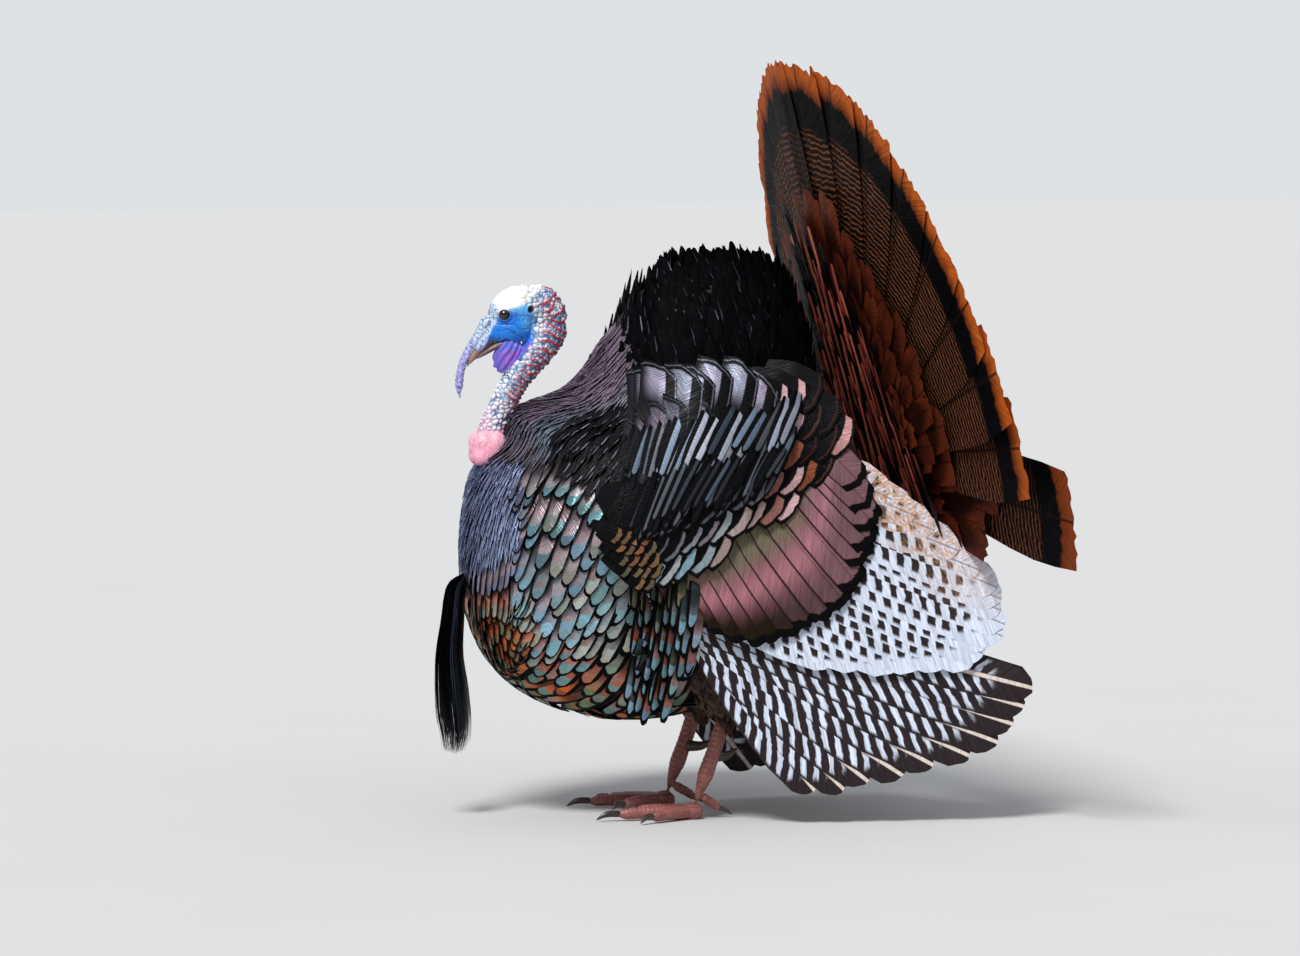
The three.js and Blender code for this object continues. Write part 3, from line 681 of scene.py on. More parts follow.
# ---------- The body's surface ----------
TORSO_OUTLINE = [(-246, 348), (-257, 300), (-259, 253), (-253, 207), (-234, 162), (-200, 128), (-150, 106), (-89, 98),
    (-17, 108), (56, 142), (112, 200), (138, 270), (132, 345), (110, 412), (94, 476), (73, 528), (34, 552),
    (-27, 552), (-70, 537), (-97, 509), (-113, 480), (-131, 450), (-154, 428), (-189, 415), (-213, 404), (-222, 377)]
BODY_CENTRE = np.array([-70.0, 320.0])
BODY_HALF_WIDTH = 132.0


def torso_point(turn, tilt, grow=0.0):
    """A place on the torso: turn runs round the side outline, tilt from the right flank to the left."""
    edge = spline(TORSO_OUTLINE, np.asarray(turn, float), closed=True)
    reach = edge - BODY_CENTRE
    rise = np.clip(reach[..., 1] / 240, 0, 1)
    rear = np.clip(reach[..., 0] / 200, 0, 1)
    pinch = 0.86 + 0.3 * rise + 0.25 * rear
    spread = np.sin(tilt) * (1 + grow / np.linalg.norm(reach, axis=-1))
    level = np.cos(tilt)
    out = np.sign(level) * np.abs(level) ** pinch * (BODY_HALF_WIDTH + grow)
    flat = BODY_CENTRE + reach * spread[..., None]
    return np.stack([flat[..., 0], out, flat[..., 1]], -1)


def torso_form(grow, sides, rings):
    def place(p):
        turn = np.mod(np.arctan2(p[:, 2], -p[:, 0]) / (2 * np.pi), 1)
        return torso_point(turn, np.arccos(np.clip(p[:, 1], -1, 1)), grow)

    return sphere_mesh(sides, rings, place, lying=True)


class BodySurface:
    """The coat's outer surface on the torso, for feathers to lie on."""

    def __init__(self):
        form = torso_form(0.0, 160, 80)
        bmesh.ops.triangulate(form, faces=form.faces)
        self.tree = BVHTree.FromBMesh(form)
        form.free()

    def settle(self, points):
        """The nearest places on the surface, and the directions out of it."""
        flat = points.reshape(-1, 3)
        found = [self.tree.find_nearest(Vector(p)) for p in flat * MM]
        spots = np.array([f[0] for f in found]) / MM
        normals = np.array([f[1] for f in found])
        return spots.reshape(points.shape), normals.reshape(points.shape)


def torso_lattice(random, step):
    """Rings of (turn, tilt) all over the torso, with about the step between them in mm."""
    arc = 272.0  # from a flank's middle to the midline, over the curve
    rings = int(arc / step)
    turns, tilts = [], []
    dense = np.linspace(0, 1, 721)
    for side in (-1, 1):
        for k in range(rings):
            tilt = (k + 0.5) / rings * np.pi / 2
            tilt = np.pi - tilt if side < 0 else tilt
            loop = torso_point(dense, np.full(dense.shape, tilt))
            run = np.concatenate([[0], np.cumsum(np.linalg.norm(np.diff(loop, axis=0), axis=1))])
            count = max(3, int(run[-1] / step))
            at = np.mod((np.arange(count) + random.random(count)) / count * run[-1], run[-1])
            turns.append(np.interp(at, run, dense))
            tilts.append(tilt + (random.random(count) - 0.5) * (np.pi / 2 / rings))
    return np.concatenate(turns), np.concatenate(tilts)


def spaced(order, spots, normals, ahead, long, wide):
    """Which places to keep so that an oval round each, longer along the feathers, stays free."""
    side = np.cross(ahead, normals)
    kept = []
    held = np.empty_like(spots)
    for index in np.argsort(order):
        total = len(kept)
        apart = spots[index] - held[max(0, total - 700) : total]
        share = (apart @ ahead[index] / long[index]) ** 2 + (apart @ side[index] / wide[index]) ** 2
        share += (apart @ normals[index] / 40) ** 2
        if total and share.min() < 1:
            continue
        held[total] = spots[index]
        kept.append(index)
    return np.array(kept)


HUMP_AREA = [(-100, 400), (-130, 440), (-165, 480), (-190, 520), (-90, 600), (60, 610), (170, 540), (190, 420),
    (160, 330), (90, 330), (20, 350), (-40, 370), (-80, 380)]
CAPE_AREA = [(-88, 440), (-92, 466), (-98, 496), (-108, 532), (-216, 500), (-206, 424), (-240, 412), (-240, 388),
    (-206, 384), (-180, 388), (-160, 400), (-142, 414), (-120, 434)]
SHOULDER_AREA = [(-60, 450), (-96, 446), (-120, 434), (-142, 414), (-160, 400), (-158, 388), (-146, 376), (-132, 364),
    (-126, 338), (-112, 314), (-100, 290), (-20, 300), (20, 400), (-40, 420)]

BREAST_FLOW = [(-235, 320, -0.2, -1), (-205, 325, -0.42, -0.9), (-210, 260, -0.38, -0.93), (-170, 310, -0.22, -0.98),
    (-165, 250, -0.28, -0.96), (-235, 215, -0.4, -0.9), (-225, 170, -0.72, -0.68), (-190, 145, -0.85, -0.53),
    (-140, 130, -0.75, -0.66), (-140, 200, -0.5, -0.87), (-115, 180, -0.42, -0.9), (-75, 190, -0.15, -1),
    (0, 190, 0.1, -1), (60, 230, 0.5, -0.8)]
CAPE_FLOW = [(-206, 400, -0.16, -0.98), (-185, 385, -0.36, -0.93), (-150, 410, -0.5, -0.87),
    (-110, 440, -0.38, -0.93), (-120, 470, -0.45, -0.9), (-170, 350, -0.4, -0.9), (-100, 370, -0.2, -1)]
HUMP_FLOW = [(-100, 500, -0.3, 1), (-40, 540, -0.25, 1), (30, 540, -0.1, 1), (80, 500, 0.05, 1), (-40, 450, -0.1, 1),
    (60, 430, 0.1, 1)]
REAR_FLOW = [(120, 400, 0.3, 1), (130, 300, 0.9, 0.4), (100, 220, 1, -0.3), (20, 140, 1, -0.4), (-60, 110, 1, -0.1)]
SHOULDER_FLOW = [(-130, 430, -0.5, -0.87), (-160, 370, -0.45, -0.9), (-100, 420, -0.3, -1), (-60, 380, -0.15, -1),
    (-120, 340, -0.25, -1), (-60, 320, 0.1, -1)]
THIGH_ROWS = ((168, 34, 18), (152, 28, 16), (138, 22, 14), (126, 16, 12))  # height, radius, feathers


def rearward(ahead, normal):
    """Across a feather, towards the tail on either flank."""
    side = np.cross(ahead, normal)
    return side * np.where(side[:, :1] < 0, -1, 1)


def laid_on(body, root, ahead, side):
    """A place function for feathers that follow the torso."""

    def place(distance, off, height):
        flat = root[:, None] + ahead[:, None] * distance[..., None] + side[:, None] * off[..., None]
        spot, out = body.settle(flat)
        return spot + out * height[..., None]

    return place


def raised_from(root, ahead, normal, side, lift, bow=0.0):
    """A place function for feathers that stand off the body by a lift in degrees and bow back."""
    lift = np.radians(np.broadcast_to(lift, (len(root),)))[:, None]
    axis = ahead * np.cos(lift) + normal * np.sin(lift)
    up = normal * np.cos(lift) - ahead * np.sin(lift)

    def place(distance, off, height):
        bend = height - bow * (distance / 60) ** 2
        flat = root[:, None] + axis[:, None] * distance[..., None] + side[:, None] * off[..., None]
        return flat + up[:, None] * bend[..., None]

    return place


# ---------- Wings ----------
def wing_out(x, z):
    """How far out the wing's middle surface lies at a place in the side view."""
    flare = 40 * smooth(x, 0, 290)
    top = (0.0016 + 0.0013 * smooth(-x, 40, 120)) * np.maximum(0, z - 300) ** 2
    front = 0.004 * np.maximum(0, -100 - x) ** 2
    return 150 + flare - top - front


UNDYED = (0, 0, 0, 1)
FLIGHT = Look(across=8, down=26, blade=(0.12, 0.5, 0.8, 0.95, 1.0, 0.82), roll=7, rounding=0.7, ragged=2.5,
    rise=(0, 0))
COVERT = Look(across=8, down=12, blade=(0.25, 0.8, 1.0, 0.95), roll=7, rounding=0.6, ragged=2.0, rise=(0, 0))

PRIMARY_ROOTS = [(-104, 232), (-96, 212), (-78, 196), (-62, 186)]
PRIMARY_TIPS = [(284, 140), (278, 104), (228, 80), (172, 60), (121, 42), (74, 34)]
SECONDARY_ROOTS = [(34, 372), (-20, 332), (-75, 290), (-120, 256)]
SECONDARY_TIPS = [(146, 326), (189, 294), (230, 254), (257, 222), (254, 197), (236, 177), (206, 166), (148, 164),
    (87, 170)]
GREATER_ROOTS = [(39, 409), (36, 391), (30, 359), (11, 322), (-15, 303), (-39, 289), (-64, 280), (-84, 280),
    (-100, 286)]
GREATER_TIPS = [(113, 342), (124, 303), (119, 264), (98, 222), (68, 200), (37, 188), (1, 187), (-34, 203), (-64, 226)]
COVERT_AREA = [(112, 368), (54, 318), (-14, 275), (-72, 244), (-100, 238), (-128, 248), (-142, 282), (-128, 312),
    (-92, 330), (-56, 352), (-20, 392), (24, 420), (84, 424)]
COVERT_AHEAD = unit(np.array([0.84, -0.54]))
BEND = np.array([-122.0, 262.0])
PANEL_UP = unit(np.array([-0.55, 0.83]))  # away from the panel's upper edge
SCAPULAR_TIPS = [(18, 440), (-14, 450), (-42, 454), (-66, 454), (-88, 451), (-104, 444), (-117, 434), (-128, 420)]

MANTLE_ROOTS = [(58, 424), (28, 428), (-12, 430), (-50, 426), (-84, 418), (-110, 408)]
MANTLE_TIPS = [(20, 372), (-18, 366), (-64, 352), (-98, 344), (-122, 340), (-138, 344)]


def grow_on_wing(coat, side, look, root, tip, width, layer, tint, tone, sweep=0.0, strip=False):
    """Feathers from roots to tips in the side view, each rising to its layer over the wing."""
    count = len(root)
    reach = np.linalg.norm(tip - root, axis=1)
    stretch = 1 + 0.03 * (coat.random.random(count) * 2 - 1)
    step = (tip - root) / reach[:, None]
    lift = coat.random.random(count) * 0.5
    layer = np.broadcast_to(layer, (count,))[:, None]

    def place(distance, off, height):
        aside = sweep * (distance / reach[:, None]) ** 2 - off
        x = root[:, :1] + step[:, :1] * distance - step[:, 1:] * aside
        z = root[:, 1:] + step[:, 1:] * distance + step[:, :1] * aside
        level = (0.4 * layer - 5) + (0.6 * layer + 5) * smooth(distance / reach[:, None], 0, 0.4)
        out = wing_out(x, z) + level + height + lift[:, None]
        return np.stack([x, side * out, z], -1)

    spots = np.stack([0.5 + root[:, 0] / 700, 0.1 + root[:, 1] / 700], -1)
    coat.grow(look, reach * stretch, width, place, spots, tint, tone, strip, side > 0)


def grow_tier(coat, side, look, count, roots, tips, width, layer, tint, tone, sweep):
    """Feathers from a line of roots to a line of tips, each with its own strip of the unwrap."""
    share = np.arange(count) / (count - 1)
    root, tip = along(roots, share), along(tips, share)
    grow_on_wing(coat, side, look, root, tip, width, layer, tint, tone, sweep, strip=True)


# ---------- Tail ----------
TAIL_BASE = np.array([155.0, 0.0, 355.0])
TAIL_LENGTH = 412.0
TAIL_LEAN = 13.0
TAIL_CONE = 7.5
TAIL_YAW = 2.5
TAIL_CONE_END = 16.0
TAIL_FEATHERS = 18
TAIL_HALF_SPREAD = 102.0
UPPER_TIERS = (  # count, half spread, start, length, width, lift
    (24, 105, 44, 272, 44, 8),
    (25, 109, 42, 240, 38, 11),
    (28, 110, 40, 206, 32, 14),
    (28, 108, 40, 172, 28, 17),
)
UNDER_TIERS = (
    (17, 100, 40, 190, 52, -8),
    (16, 98, 38, 140, 44, -14),
    (15, 98, 30, 104, 36, -20),
    (12, 100, 14, 76, 30, -26),
    (13, 150, -12, 46, 30, -30),
)


def fan_frame(angle):
    """The fan's directions at angles from its middle: along the feather, across it and forward."""
    lean = np.radians(TAIL_LEAN)
    side = np.where(angle < 0, -1.0, 1.0)
    low = smooth(np.abs(angle), np.where(side < 0, 80, 60), 98)
    plain = TAIL_CONE - side * TAIL_YAW
    cone = np.radians(plain + (TAIL_CONE_END - plain) * low)
    up = np.array([-np.sin(lean), 0, np.cos(lean)])
    outward = np.stack([np.sin(cone), side * np.cos(cone), np.zeros_like(cone)], -1)
    a = np.radians(np.abs(angle))[:, None]
    ahead = up * np.cos(a) + outward * np.sin(a)
    across = outward * np.cos(a) - up * np.sin(a)
    forward = np.cross(ahead, across) * side[:, None]
    return ahead, across, forward


STREAK_AREA = [(-12, 236), (56, 214), (104, 150), (132, 66), (160, 6), (178, -46), (110, -72), (40, -80), (-12, -80)]


def fan_share(angle):
    """The fan's length at angles from its middle, as a share of that at its top."""
    a = np.abs(angle)
    loss = 26 * smooth(a, 25, 65) + 12 * smooth(a, 75, 87) - 16 * smooth(a, 88, 96)
    return 1 - loss / TAIL_LENGTH


def grow_fan(coat, look, angles, start, lengths, widths, lift, tint, tone, strip=False, facing=1):
    """Feathers spread over the fan, their outer edges in front of the next one's inner edge."""
    ahead, across, forward = fan_frame(angles)
    lift = np.broadcast_to(lift, angles.shape)

    def place(distance, off, height):
        run = start + distance
        out = lift[:, None] + facing * height + off * np.sin(np.radians(2.6))
        flat = TAIL_BASE + ahead[:, None] * run[..., None] + across[:, None] * off[..., None]
        return flat + forward[:, None] * out[..., None]

    spots = np.stack([0.5 + angles / 240, np.full(len(angles), 0.1) + start / 500], -1)
    reach = lengths * fan_share(angles) - start
    flip = np.where(angles < 0, -1, 1) * facing > 0
    coat.grow(look, reach, widths, place, spots, tint, tone, strip, flip)


# ---------- Head, neck and the other flesh ----------
NECK_LINE = [(-182, 0, 518), (-173, 0, 496), (-180, 0, 473), (-193, 0, 454), (-205, 0, 438), (-213, 0, 424),
    (-220, 0, 410), (-230, 0, 388), (-231, 0, 362), (-222, 0, 328)]
NECK_DEEP = (15, 22, 18.5, 14.5, 13, 13, 13.5, 13.5, 13, 13)
NECK_WIDE = (11, 16, 16, 15.5, 15, 14.5, 14, 13, 12, 12)
SNOOD_LINE = [(-226, 0, 503), (-234, 0, 495), (-243, 0, 481), (-252, 0, 468), (-260, 0, 452), (-263, 0, 434),
    (-262, 0, 417)]
BILL_TOP_LINE = [(-218, 0, 490), (-230, 0, 482), (-241, 0, 471), (-250, 0, 461), (-255, 0, 450)]
BILL_LOW_LINE = [(-212, 0, 476), (-226, 0, 471), (-238, 0, 464.5), (-248, 0, 457.5)]
EYE = np.array([-219.0, 503.0])
EYE_OUT = 10.0
EYE_RADIUS = 6.6
EAR = np.array([-193.0, 508.0])
LEG_OUT = 62.0
SOLE = (-40.0, 0.0)
ANKLE = (2.0, 132.0)
TOES = ((4, 96), (-34, 74), (38, 78))  # heading in degrees, length in mm


def head_forms():
    return [ellipsoid((-205, 0, 507), (29, 17, 23), -28), ellipsoid((-210, 0, 491), (21, 14.5, 18), -28),
        ellipsoid((-222, 0, 490), (17, 11, 13), -45), ellipsoid((-203, -8, 492), (11, 8.5, 13), -20),
        ellipsoid((-203, 8, 492), (11, 8.5, 13), -20), limb(NECK_LINE, NECK_DEEP, NECK_WIDE, sides=64, rings=96),
        limb(SNOOD_LINE, (8, 7, 5.4, 4.6, 3.9, 4, 3.2), (8, 7.6, 6.4, 5, 4, 4.2, 3.4)),
        limb([(-222, 0, 493), (-231, 0, 484), (-241, 0, 473), (-249, 0, 463)], (8, 7, 5.6, 3), (10, 9.2, 7.7, 5)),
        ellipsoid((-184, 0, 509), (26, 14.5, 22.5), 12), ellipsoid((-176, 0, 503), (22, 14, 20), 20),
        limb([(-205, 0, 480), (-213, 0, 466), (-217, 0, 456), (-221, 0, 443)], (14, 14, 12, 7), (10, 9, 8, 5.5)),
        *(ellipsoid((-234, y, 369), (17.5, 13, 17.5)) for y in (-8, 8)),
        *(ellipsoid((x, y, z), (11.5, 10, 11.5)) for x in (-240, -228) for z in (363, 375) for y in (-10, 10))]


def leg_forms(side):
    out = side * LEG_OUT
    shank = limb([(ANKLE[0] - 8, out, ANKLE[1] + 30), (ANKLE[0] + 1, out, ANKLE[1] + 2), (-12, out, 82),
        (-37, out, 12)], (13, 10.5, 7.8, 7.2, 9), (12, 8.5, 6.4, 6, 8.5))
    pad = ellipsoid((SOLE[0], out, 7), (12, 11, 9))
    hallux = limb([(-32, side * (LEG_OUT - 2), 24), (-16, side * (LEG_OUT - 8), 14), (-8, side * (LEG_OUT - 10), 8)],
        (5, 4.4, 3), (4.6, 4, 2.8))
    toes = [limb([toe_point(side, heading, length, s, r) for s, r in ((0, 1), (0.45, 1.2), (0.84, -0.4))],
        (7, 6, 4.6), (7, 5.6, 4.4)) for heading, length in TOES]
    return [shank, pad, hallux, *toes]


def toe_point(side, heading, length, share, rise, z=6.5):
    a = np.radians(heading)
    return (SOLE[0] - np.cos(a) * length * share, side * (LEG_OUT + np.sin(a) * length * share), z + rise)


def neck_coordinates(points):
    """How far down the neck each point is, from 0 to 1, and its turn round it: 0 throat, 1 nape."""
    share = np.linspace(0, 1, 200)
    line = spline(NECK_LINE, share)
    ahead = unit(np.gradient(line, axis=0))
    nearest = ((points[:, None, :] - line[None]) ** 2).sum(-1).argmin(1)
    nape = np.cross(ahead, np.array([0.0, 1.0, 0.0]))[nearest]
    away = points - line[nearest]
    behind = (away * nape).sum(1)
    turn = np.arctan2(np.abs(away[:, 1]), -behind) / np.pi
    return share[nearest], turn


def sculpt_head(points, normals):
    """Moves the head and neck's skin into lids, ears, beads and folds, and paints it."""
    x, y, z = points.T
    down, turn = neck_coordinates(points)
    broad = cloud(points, 14, 3)
    fine = cloud(points, 3.2, 4)
    grain = cloud(points, 1.6, 5)
    wobble = (broad - 0.5) * 10

    # Zones, each from 0 to 1.
    crown_edge = np.interp(x, [-240, -226, -214, -200, -190, -180], [500, 505, 509, 513, 520, 530])
    crown = smooth(z + 0.25 * wobble, crown_edge - 2, crown_edge + 2.5)
    snood_line = spline(SNOOD_LINE, np.linspace(0, 1, 80))
    to_snood = np.sqrt(((points[:, None] - snood_line[None]) ** 2).sum(-1))
    snood_share = to_snood.argmin(1) / 79
    snood_reach = along((12.5, 11.5, 12, 11, 7.5, 7.5, 7.5), snood_share)
    snood = smooth(snood_reach + 0.15 * wobble - to_snood.min(1), 0, 1.5) * smooth(-x + 0.4 * (z - 490), 224, 232)
    bulb = smooth(390 + 0.2 * wobble - z, 0, 5) * smooth(-x, 211.5, 214)
    neck_edge = np.interp(z, [431, 440, 455, 474, 502, 512, 524], [-262, -224, -209, -192, -188, -196, -206])
    on_neck = smooth(x - neck_edge + 0.3 * wobble, -2, 3) * (1 - bulb)
    dewlap = smooth(479 - z, 0, 6) * (1 - on_neck) * (1 - snood) * (1 - bulb)
    folded = smooth(turn, 0.3, 0.5) * (1 - smooth(down, 0.55, 0.75)) * on_neck
    beaded = on_neck * (1 - 0.8 * folded)

    # Relief.
    near, second, pick = beads(points * [1, 1, 1.15], 5.8, 11)
    small, small_second, small_pick = beads(points, 2.5, 17)
    bead = smooth(second - near, 0.02, 0.4) * np.clip(1.25 - near, 0, 1)
    pimple = np.clip(1 - (small / 0.6) ** 2, 0, 1) ** 0.5
    fold_phase = down * 60 + 1.5 * (cloud(points, 11, 8) - 0.5) * 2
    ridge = np.clip(np.sin(fold_phase * np.pi), -0.5, 1)
    lift = beaded * (1.9 * bead + 0.2 * pimple - 0.9) + folded * (1.0 * ridge + 0.6 * pimple)
    lift += crown * (0.35 * pimple + 0.25 * np.sin(x * 1.7 + 2 * wobble)) * (1 - on_neck)
    face = (1 - crown) * (1 - on_neck) * (1 - bulb) * (1 - snood) * (1 - dewlap)
    crease = np.abs(cloud(points * [1, 0.6, 1.4], 7, 21) - 0.5) * 2
    lift += face * (-0.9 * smooth(0.16 - crease, 0, 0.16) + 0.25 * fine)
    pleat = np.sin((0.86 * x - 0.5 * z) * 1.15 + wobble * 0.5)
    lift += dewlap * (0.8 * pleat + 0.3 * fine)
    lift += snood * (0.35 * np.sin(snood_share * 150 + wobble) + 0.3 * pimple)
    lift += bulb * (0.9 * (broad - 0.5) + 0.25 * fine - 0.5 * smooth(0.13 - small_second + small, 0, 0.13))

    # Mouth, ears and lids.
    mouth_z = np.interp(x, [-240, -226, -217, -212], [465, 473.5, 477.5, 476])
    mouth = smooth(1.6 - np.abs(z - mouth_z), 0, 1.4) * smooth(-x, 212, 216) * smooth(x, -236, -228)
    lift -= 1.8 * mouth
    ear_apart = np.hypot((x - EAR[0]) / 1.0, (z - EAR[1]) / 1.2)
    ear_side = smooth(np.abs(y), 8, 11)
    lift += ear_side * (1.1 * np.exp(-((ear_apart - 4.6) ** 2) / 2) - 3.4 * smooth(3.6 - ear_apart, 0, 2))
    moved = points + normals * lift[:, None]
    eye_side = smooth(np.abs(y), 7, 9)
    flat = np.hypot((moved[:, 0] - EYE[0]) / 1.06, (moved[:, 2] - EYE[1]) / 0.92)
    centre = np.stack([np.full(len(x), EYE[0]), np.sign(y) * EYE_OUT, np.full(len(x), EYE[1])], -1)
    out = moved - centre
    reach = np.linalg.norm(out, axis=1)
    lid_radius = EYE_RADIUS + 1.1 + 0.35 * np.cos((flat - 6.3) * 2.4)
    lid = eye_side * smooth(flat, 4.5, 5.0) * (1 - smooth(flat, 8.2, 10.5))
    want = np.where(flat < 4.9, EYE_RADIUS - 2.6, np.maximum(reach * (flat > 7), lid_radius))
    blend = np.maximum(lid, eye_side * (flat < 4.9)) * (reach < 14)
    moved = moved + out / np.maximum(reach, 1e-6)[:, None] * ((want - reach) * blend)[:, None]

    # Colour.
    skin = bpy.context.scene.turkey_skin
    face_tint = painted(skin.face,
        # painted shade: the deep blue fills the face's creases, darkening them where shade falls
        (skin.face_deep, smooth(0.2 - crease, 0, 0.2) * 0.8),
        (skin.face_pale, 0.75 * smooth(z - crown_edge, -9, 0) * smooth(broad, 0.3, 0.7)),
        # painted highlight: pale patches by broad noise over the blue face
        (skin.face_pale, 0.4 * smooth(broad, 0.5, 0.8)),
        (skin.face_deep, 0.5 * smooth(8.5 - flat, 0, 2) * eye_side))
    speckle = painted(linear(34, 108, 178),
        (linear(150, 202, 224), smooth(small_pick, 0.2, 0.5)),
        (skin.bead, smooth(small_pick, 0.5, 0.62)))
    speckle = painted(linear(18, 44, 96), (speckle, smooth(small_second - small, 0.02, 0.3)))
    pink = smooth(0.25 * wobble + 430 - z, 0, 50) * (1 - smooth(turn, 0.3, 0.5))
    red = folded * smooth(ridge + 0.7 * (cloud(points, 6, 9) - 0.5), 0.42, 0.62)
    red_beads = smooth(turn, 0.5, 0.7) * smooth(down, 0.4, 0.5) * smooth(pick, 0.55, 0.65) * bead * on_neck
    neck_tint = painted(skin.crevice,
        (skin.bead, smooth(bead, 0.04, 0.3)),
        (linear(120, 178, 200), 0.6 * smooth(pick, 0.6, 0.7) * (1 - smooth(430 - z, 0, 40))),
        (skin.bead_pink, 0.75 * pink * smooth(pick, 0.1, 0.7)),
        (speckle, 0.85 * smooth(turn, 0.28, 0.45) * smooth(z, 400, 440)),
        (skin.fold_red, np.clip(np.maximum(red, red_beads), 0, 1)))
    tint = painted(face_tint,
        (neck_tint, on_neck),
        (skin.crown, crown * (1 - smooth(down, 0.0, 0.12) * smooth(-z, -530, -520) * 0.4)),
        (skin.crevice, 0.5 * crown * smooth(0.3 - pimple, 0, 0.3) * smooth(x, -212, -190)),
        (skin.throat, dewlap),
        (skin.throat_bright, dewlap * smooth(pleat + fine - 0.5, 0.0, 0.8) * smooth(x, -226, -212)),
        (skin.face, dewlap * smooth(z, 462, 474) * 0.6),
        (skin.snood, snood),
        (linear(190, 214, 226), snood * (1 - smooth(snood_share, 0.25, 0.6)) * 0.8),
        (linear(52, 84, 140), snood * smooth(0.34 - pimple, 0, 0.3) * 0.75),
        (skin.caruncle, bulb),
        (skin.bead_pink, bulb * smooth(z + wobble, 366, 386) * 0.8),
        (skin.fold_red, bulb * 0.35 * smooth(0.12 - small_second + small, 0, 0.12)),
        # painted shade: the gape's sunken slit painted near-black
        ((0.05, 0.02, 0.02), 0.85 * mouth),
        # painted shade: the ear's carved pit painted near-black
        ((0.03, 0.02, 0.03), ear_side * smooth(3.8 - ear_apart, 0, 1.2)),
        ((0.02, 0.02, 0.05), eye_side * 0.85 * smooth(5.4 - flat, 0, 0.6)))
    hidden = np.maximum(smooth(352 - z, -6, 4), smooth(x, -215, -212) * smooth(396 - z, 0, 8))
    tint = painted(tint * (0.86 + 0.28 * grain[:, None]), (skin.under_coat, hidden))
    return moved, np.clip(tint, 0, 1)


def sculpt_leg(points, normals):
    """Scutes down the front of the shank and over the toes, with small scales behind."""
    x, y, z = points.T
    front = smooth(-normals[:, 0], 0.0, 0.35) * smooth(z, 18, 26)
    ring = np.mod(z / 5.2 + 0.15 * np.cos(y), 1)
    plate = 1 - np.abs(2 * ring - 1) ** 4
    toe_run = np.hypot(x - SOLE[0], np.abs(y) - LEG_OUT)
    toe_top = smooth(normals[:, 2], 0.1, 0.5) * smooth(24 - z, 0, 6)
    toe_ring = np.mod(toe_run / 4.4, 1)
    toe_plate = 1 - np.abs(2 * toe_ring - 1) ** 4
    near, second, pick = beads(points, 3.0, 31)
    scale = smooth(second - near, 0.02, 0.25)
    plates = front * plate + toe_top * toe_plate
    rest = (1 - front) * (1 - toe_top)
    lift = 0.9 * plates + 0.45 * rest * scale - 0.3
    skin = bpy.context.scene.turkey_skin
    gaps = 1 - np.clip(plates + rest * scale, 0, 1)
    tone = mixed(skin.leg, np.array(skin.leg) * 0.45, gaps)
    tone = tone * (0.8 + 0.4 * cloud(points, 9, 33)[:, None]) * (0.9 + 0.2 * pick[:, None])
    tone = mixed(tone, skin.under_coat, smooth(z, 118, 130))
    moved = points + normals * lift[:, None]
    moved[:, 2] = np.maximum(moved[:, 2], 0.3)
    return moved, np.clip(tone, 0, 1)


def skin_material():
    material, wires = new_material("bare skin")
    at = wires.object_place()
    pores = wires.noise(at, 900.0, 3.0)
    patches = wires.noise(at, 160.0, 2.0)
    colour = wires.dimmed(wires.attribute("tint"), wires.plus(wires.times(pores, 0.3), 0.85))
    rough = wires.plus(wires.times(patches, 0.25), 0.36)
    surface(wires, colour, rough, pores, depth=0.25, distance=0.0006, Subsurface_Weight=0.12, Subsurface_Scale=0.004,
        Coat_Weight=0.08, Coat_Roughness=0.35)
    return material


def union(base, parts):
    """The base mesh with closed parts joined into its surface."""
    for part in parts:
        holder = bpy.data.objects.new("part", part)
        bpy.context.scene.collection.objects.link(holder)
        base = with_modifiers(base, ("BOOLEAN", {"object": holder, "operation": "UNION", "solver": "MANIFOLD"}))
        bpy.data.objects.remove(holder)
    return base


class TURKEY_OT_skin(bpy.types.Operator):
    """Makes the one skin of head, neck, body and legs, with its folds, beads and scales"""

    bl_idname = "turkey.skin"
    bl_label = "Skin"

    def execute(self, context):
        sizes = context.scene.turkey_sizes
        depth = sizes.coat_depth / MM
        parts = [self.carved(head_forms(), "head", sizes.skin_grain, 5, sculpt_head)]
        for side in SIDES.values():
            parts.append(self.carved(leg_forms(side), "leg", sizes.leg_grain, 3, sculpt_leg))
        body = [torso_form(-depth, 96, 48), ellipsoid((163, 0, 371), (20, 62, 56), -TAIL_LEAN),
            ellipsoid((123, 0, 353), (36, 44, 42))]
        for side in SIDES.values():
            body.append(ellipsoid((-66, side * 108, 350), (54, 30, 38)))
            thigh = [(-48, side * 66, 205), (-28, side * 66, 160), (-2, side * 62, 112)]
            body.append(limb(thigh, (38, 30, 12), (30, 26, 11)))
        body = fused_skin(body, "body", 0.006, 2)
        x, _, z = vertex_values(body, "co").T / MM
        under_back = smooth(z + 0.4 * x, 300, 340)
        paint(body, "tint", mixed(context.scene.turkey_skin.under_coat, linear(8, 8, 10), under_back))
        mesh = union(body, parts)
        mesh.materials.clear()
        mesh.polygons.foreach_set("use_smooth", np.ones(len(mesh.polygons), bool))
        mesh.name = "skin"
        finish_piece(link("skin", mesh, skin_material()), "face_skin",
            *("torso", "neck", "head", "snood", "dewlap", "caruncles"),
            *("thigh_left", "thigh_right", "leg_left", "leg_right"))
        return {"FINISHED"}

    def carved(self, forms, name, grain, smoothing, sculpt):
        """The forms as one skin, with its relief carved and its colours painted."""
        mesh = fused_skin(forms, name, grain, smoothing)
        moved, tint = sculpt(vertex_values(mesh, "co") / MM, vertex_values(mesh, "normal"))
        mesh.vertices.foreach_set("co", (moved * MM).astype(np.float32).ravel())
        mesh.update()
        paint(mesh, "tint", tint)
        return mesh


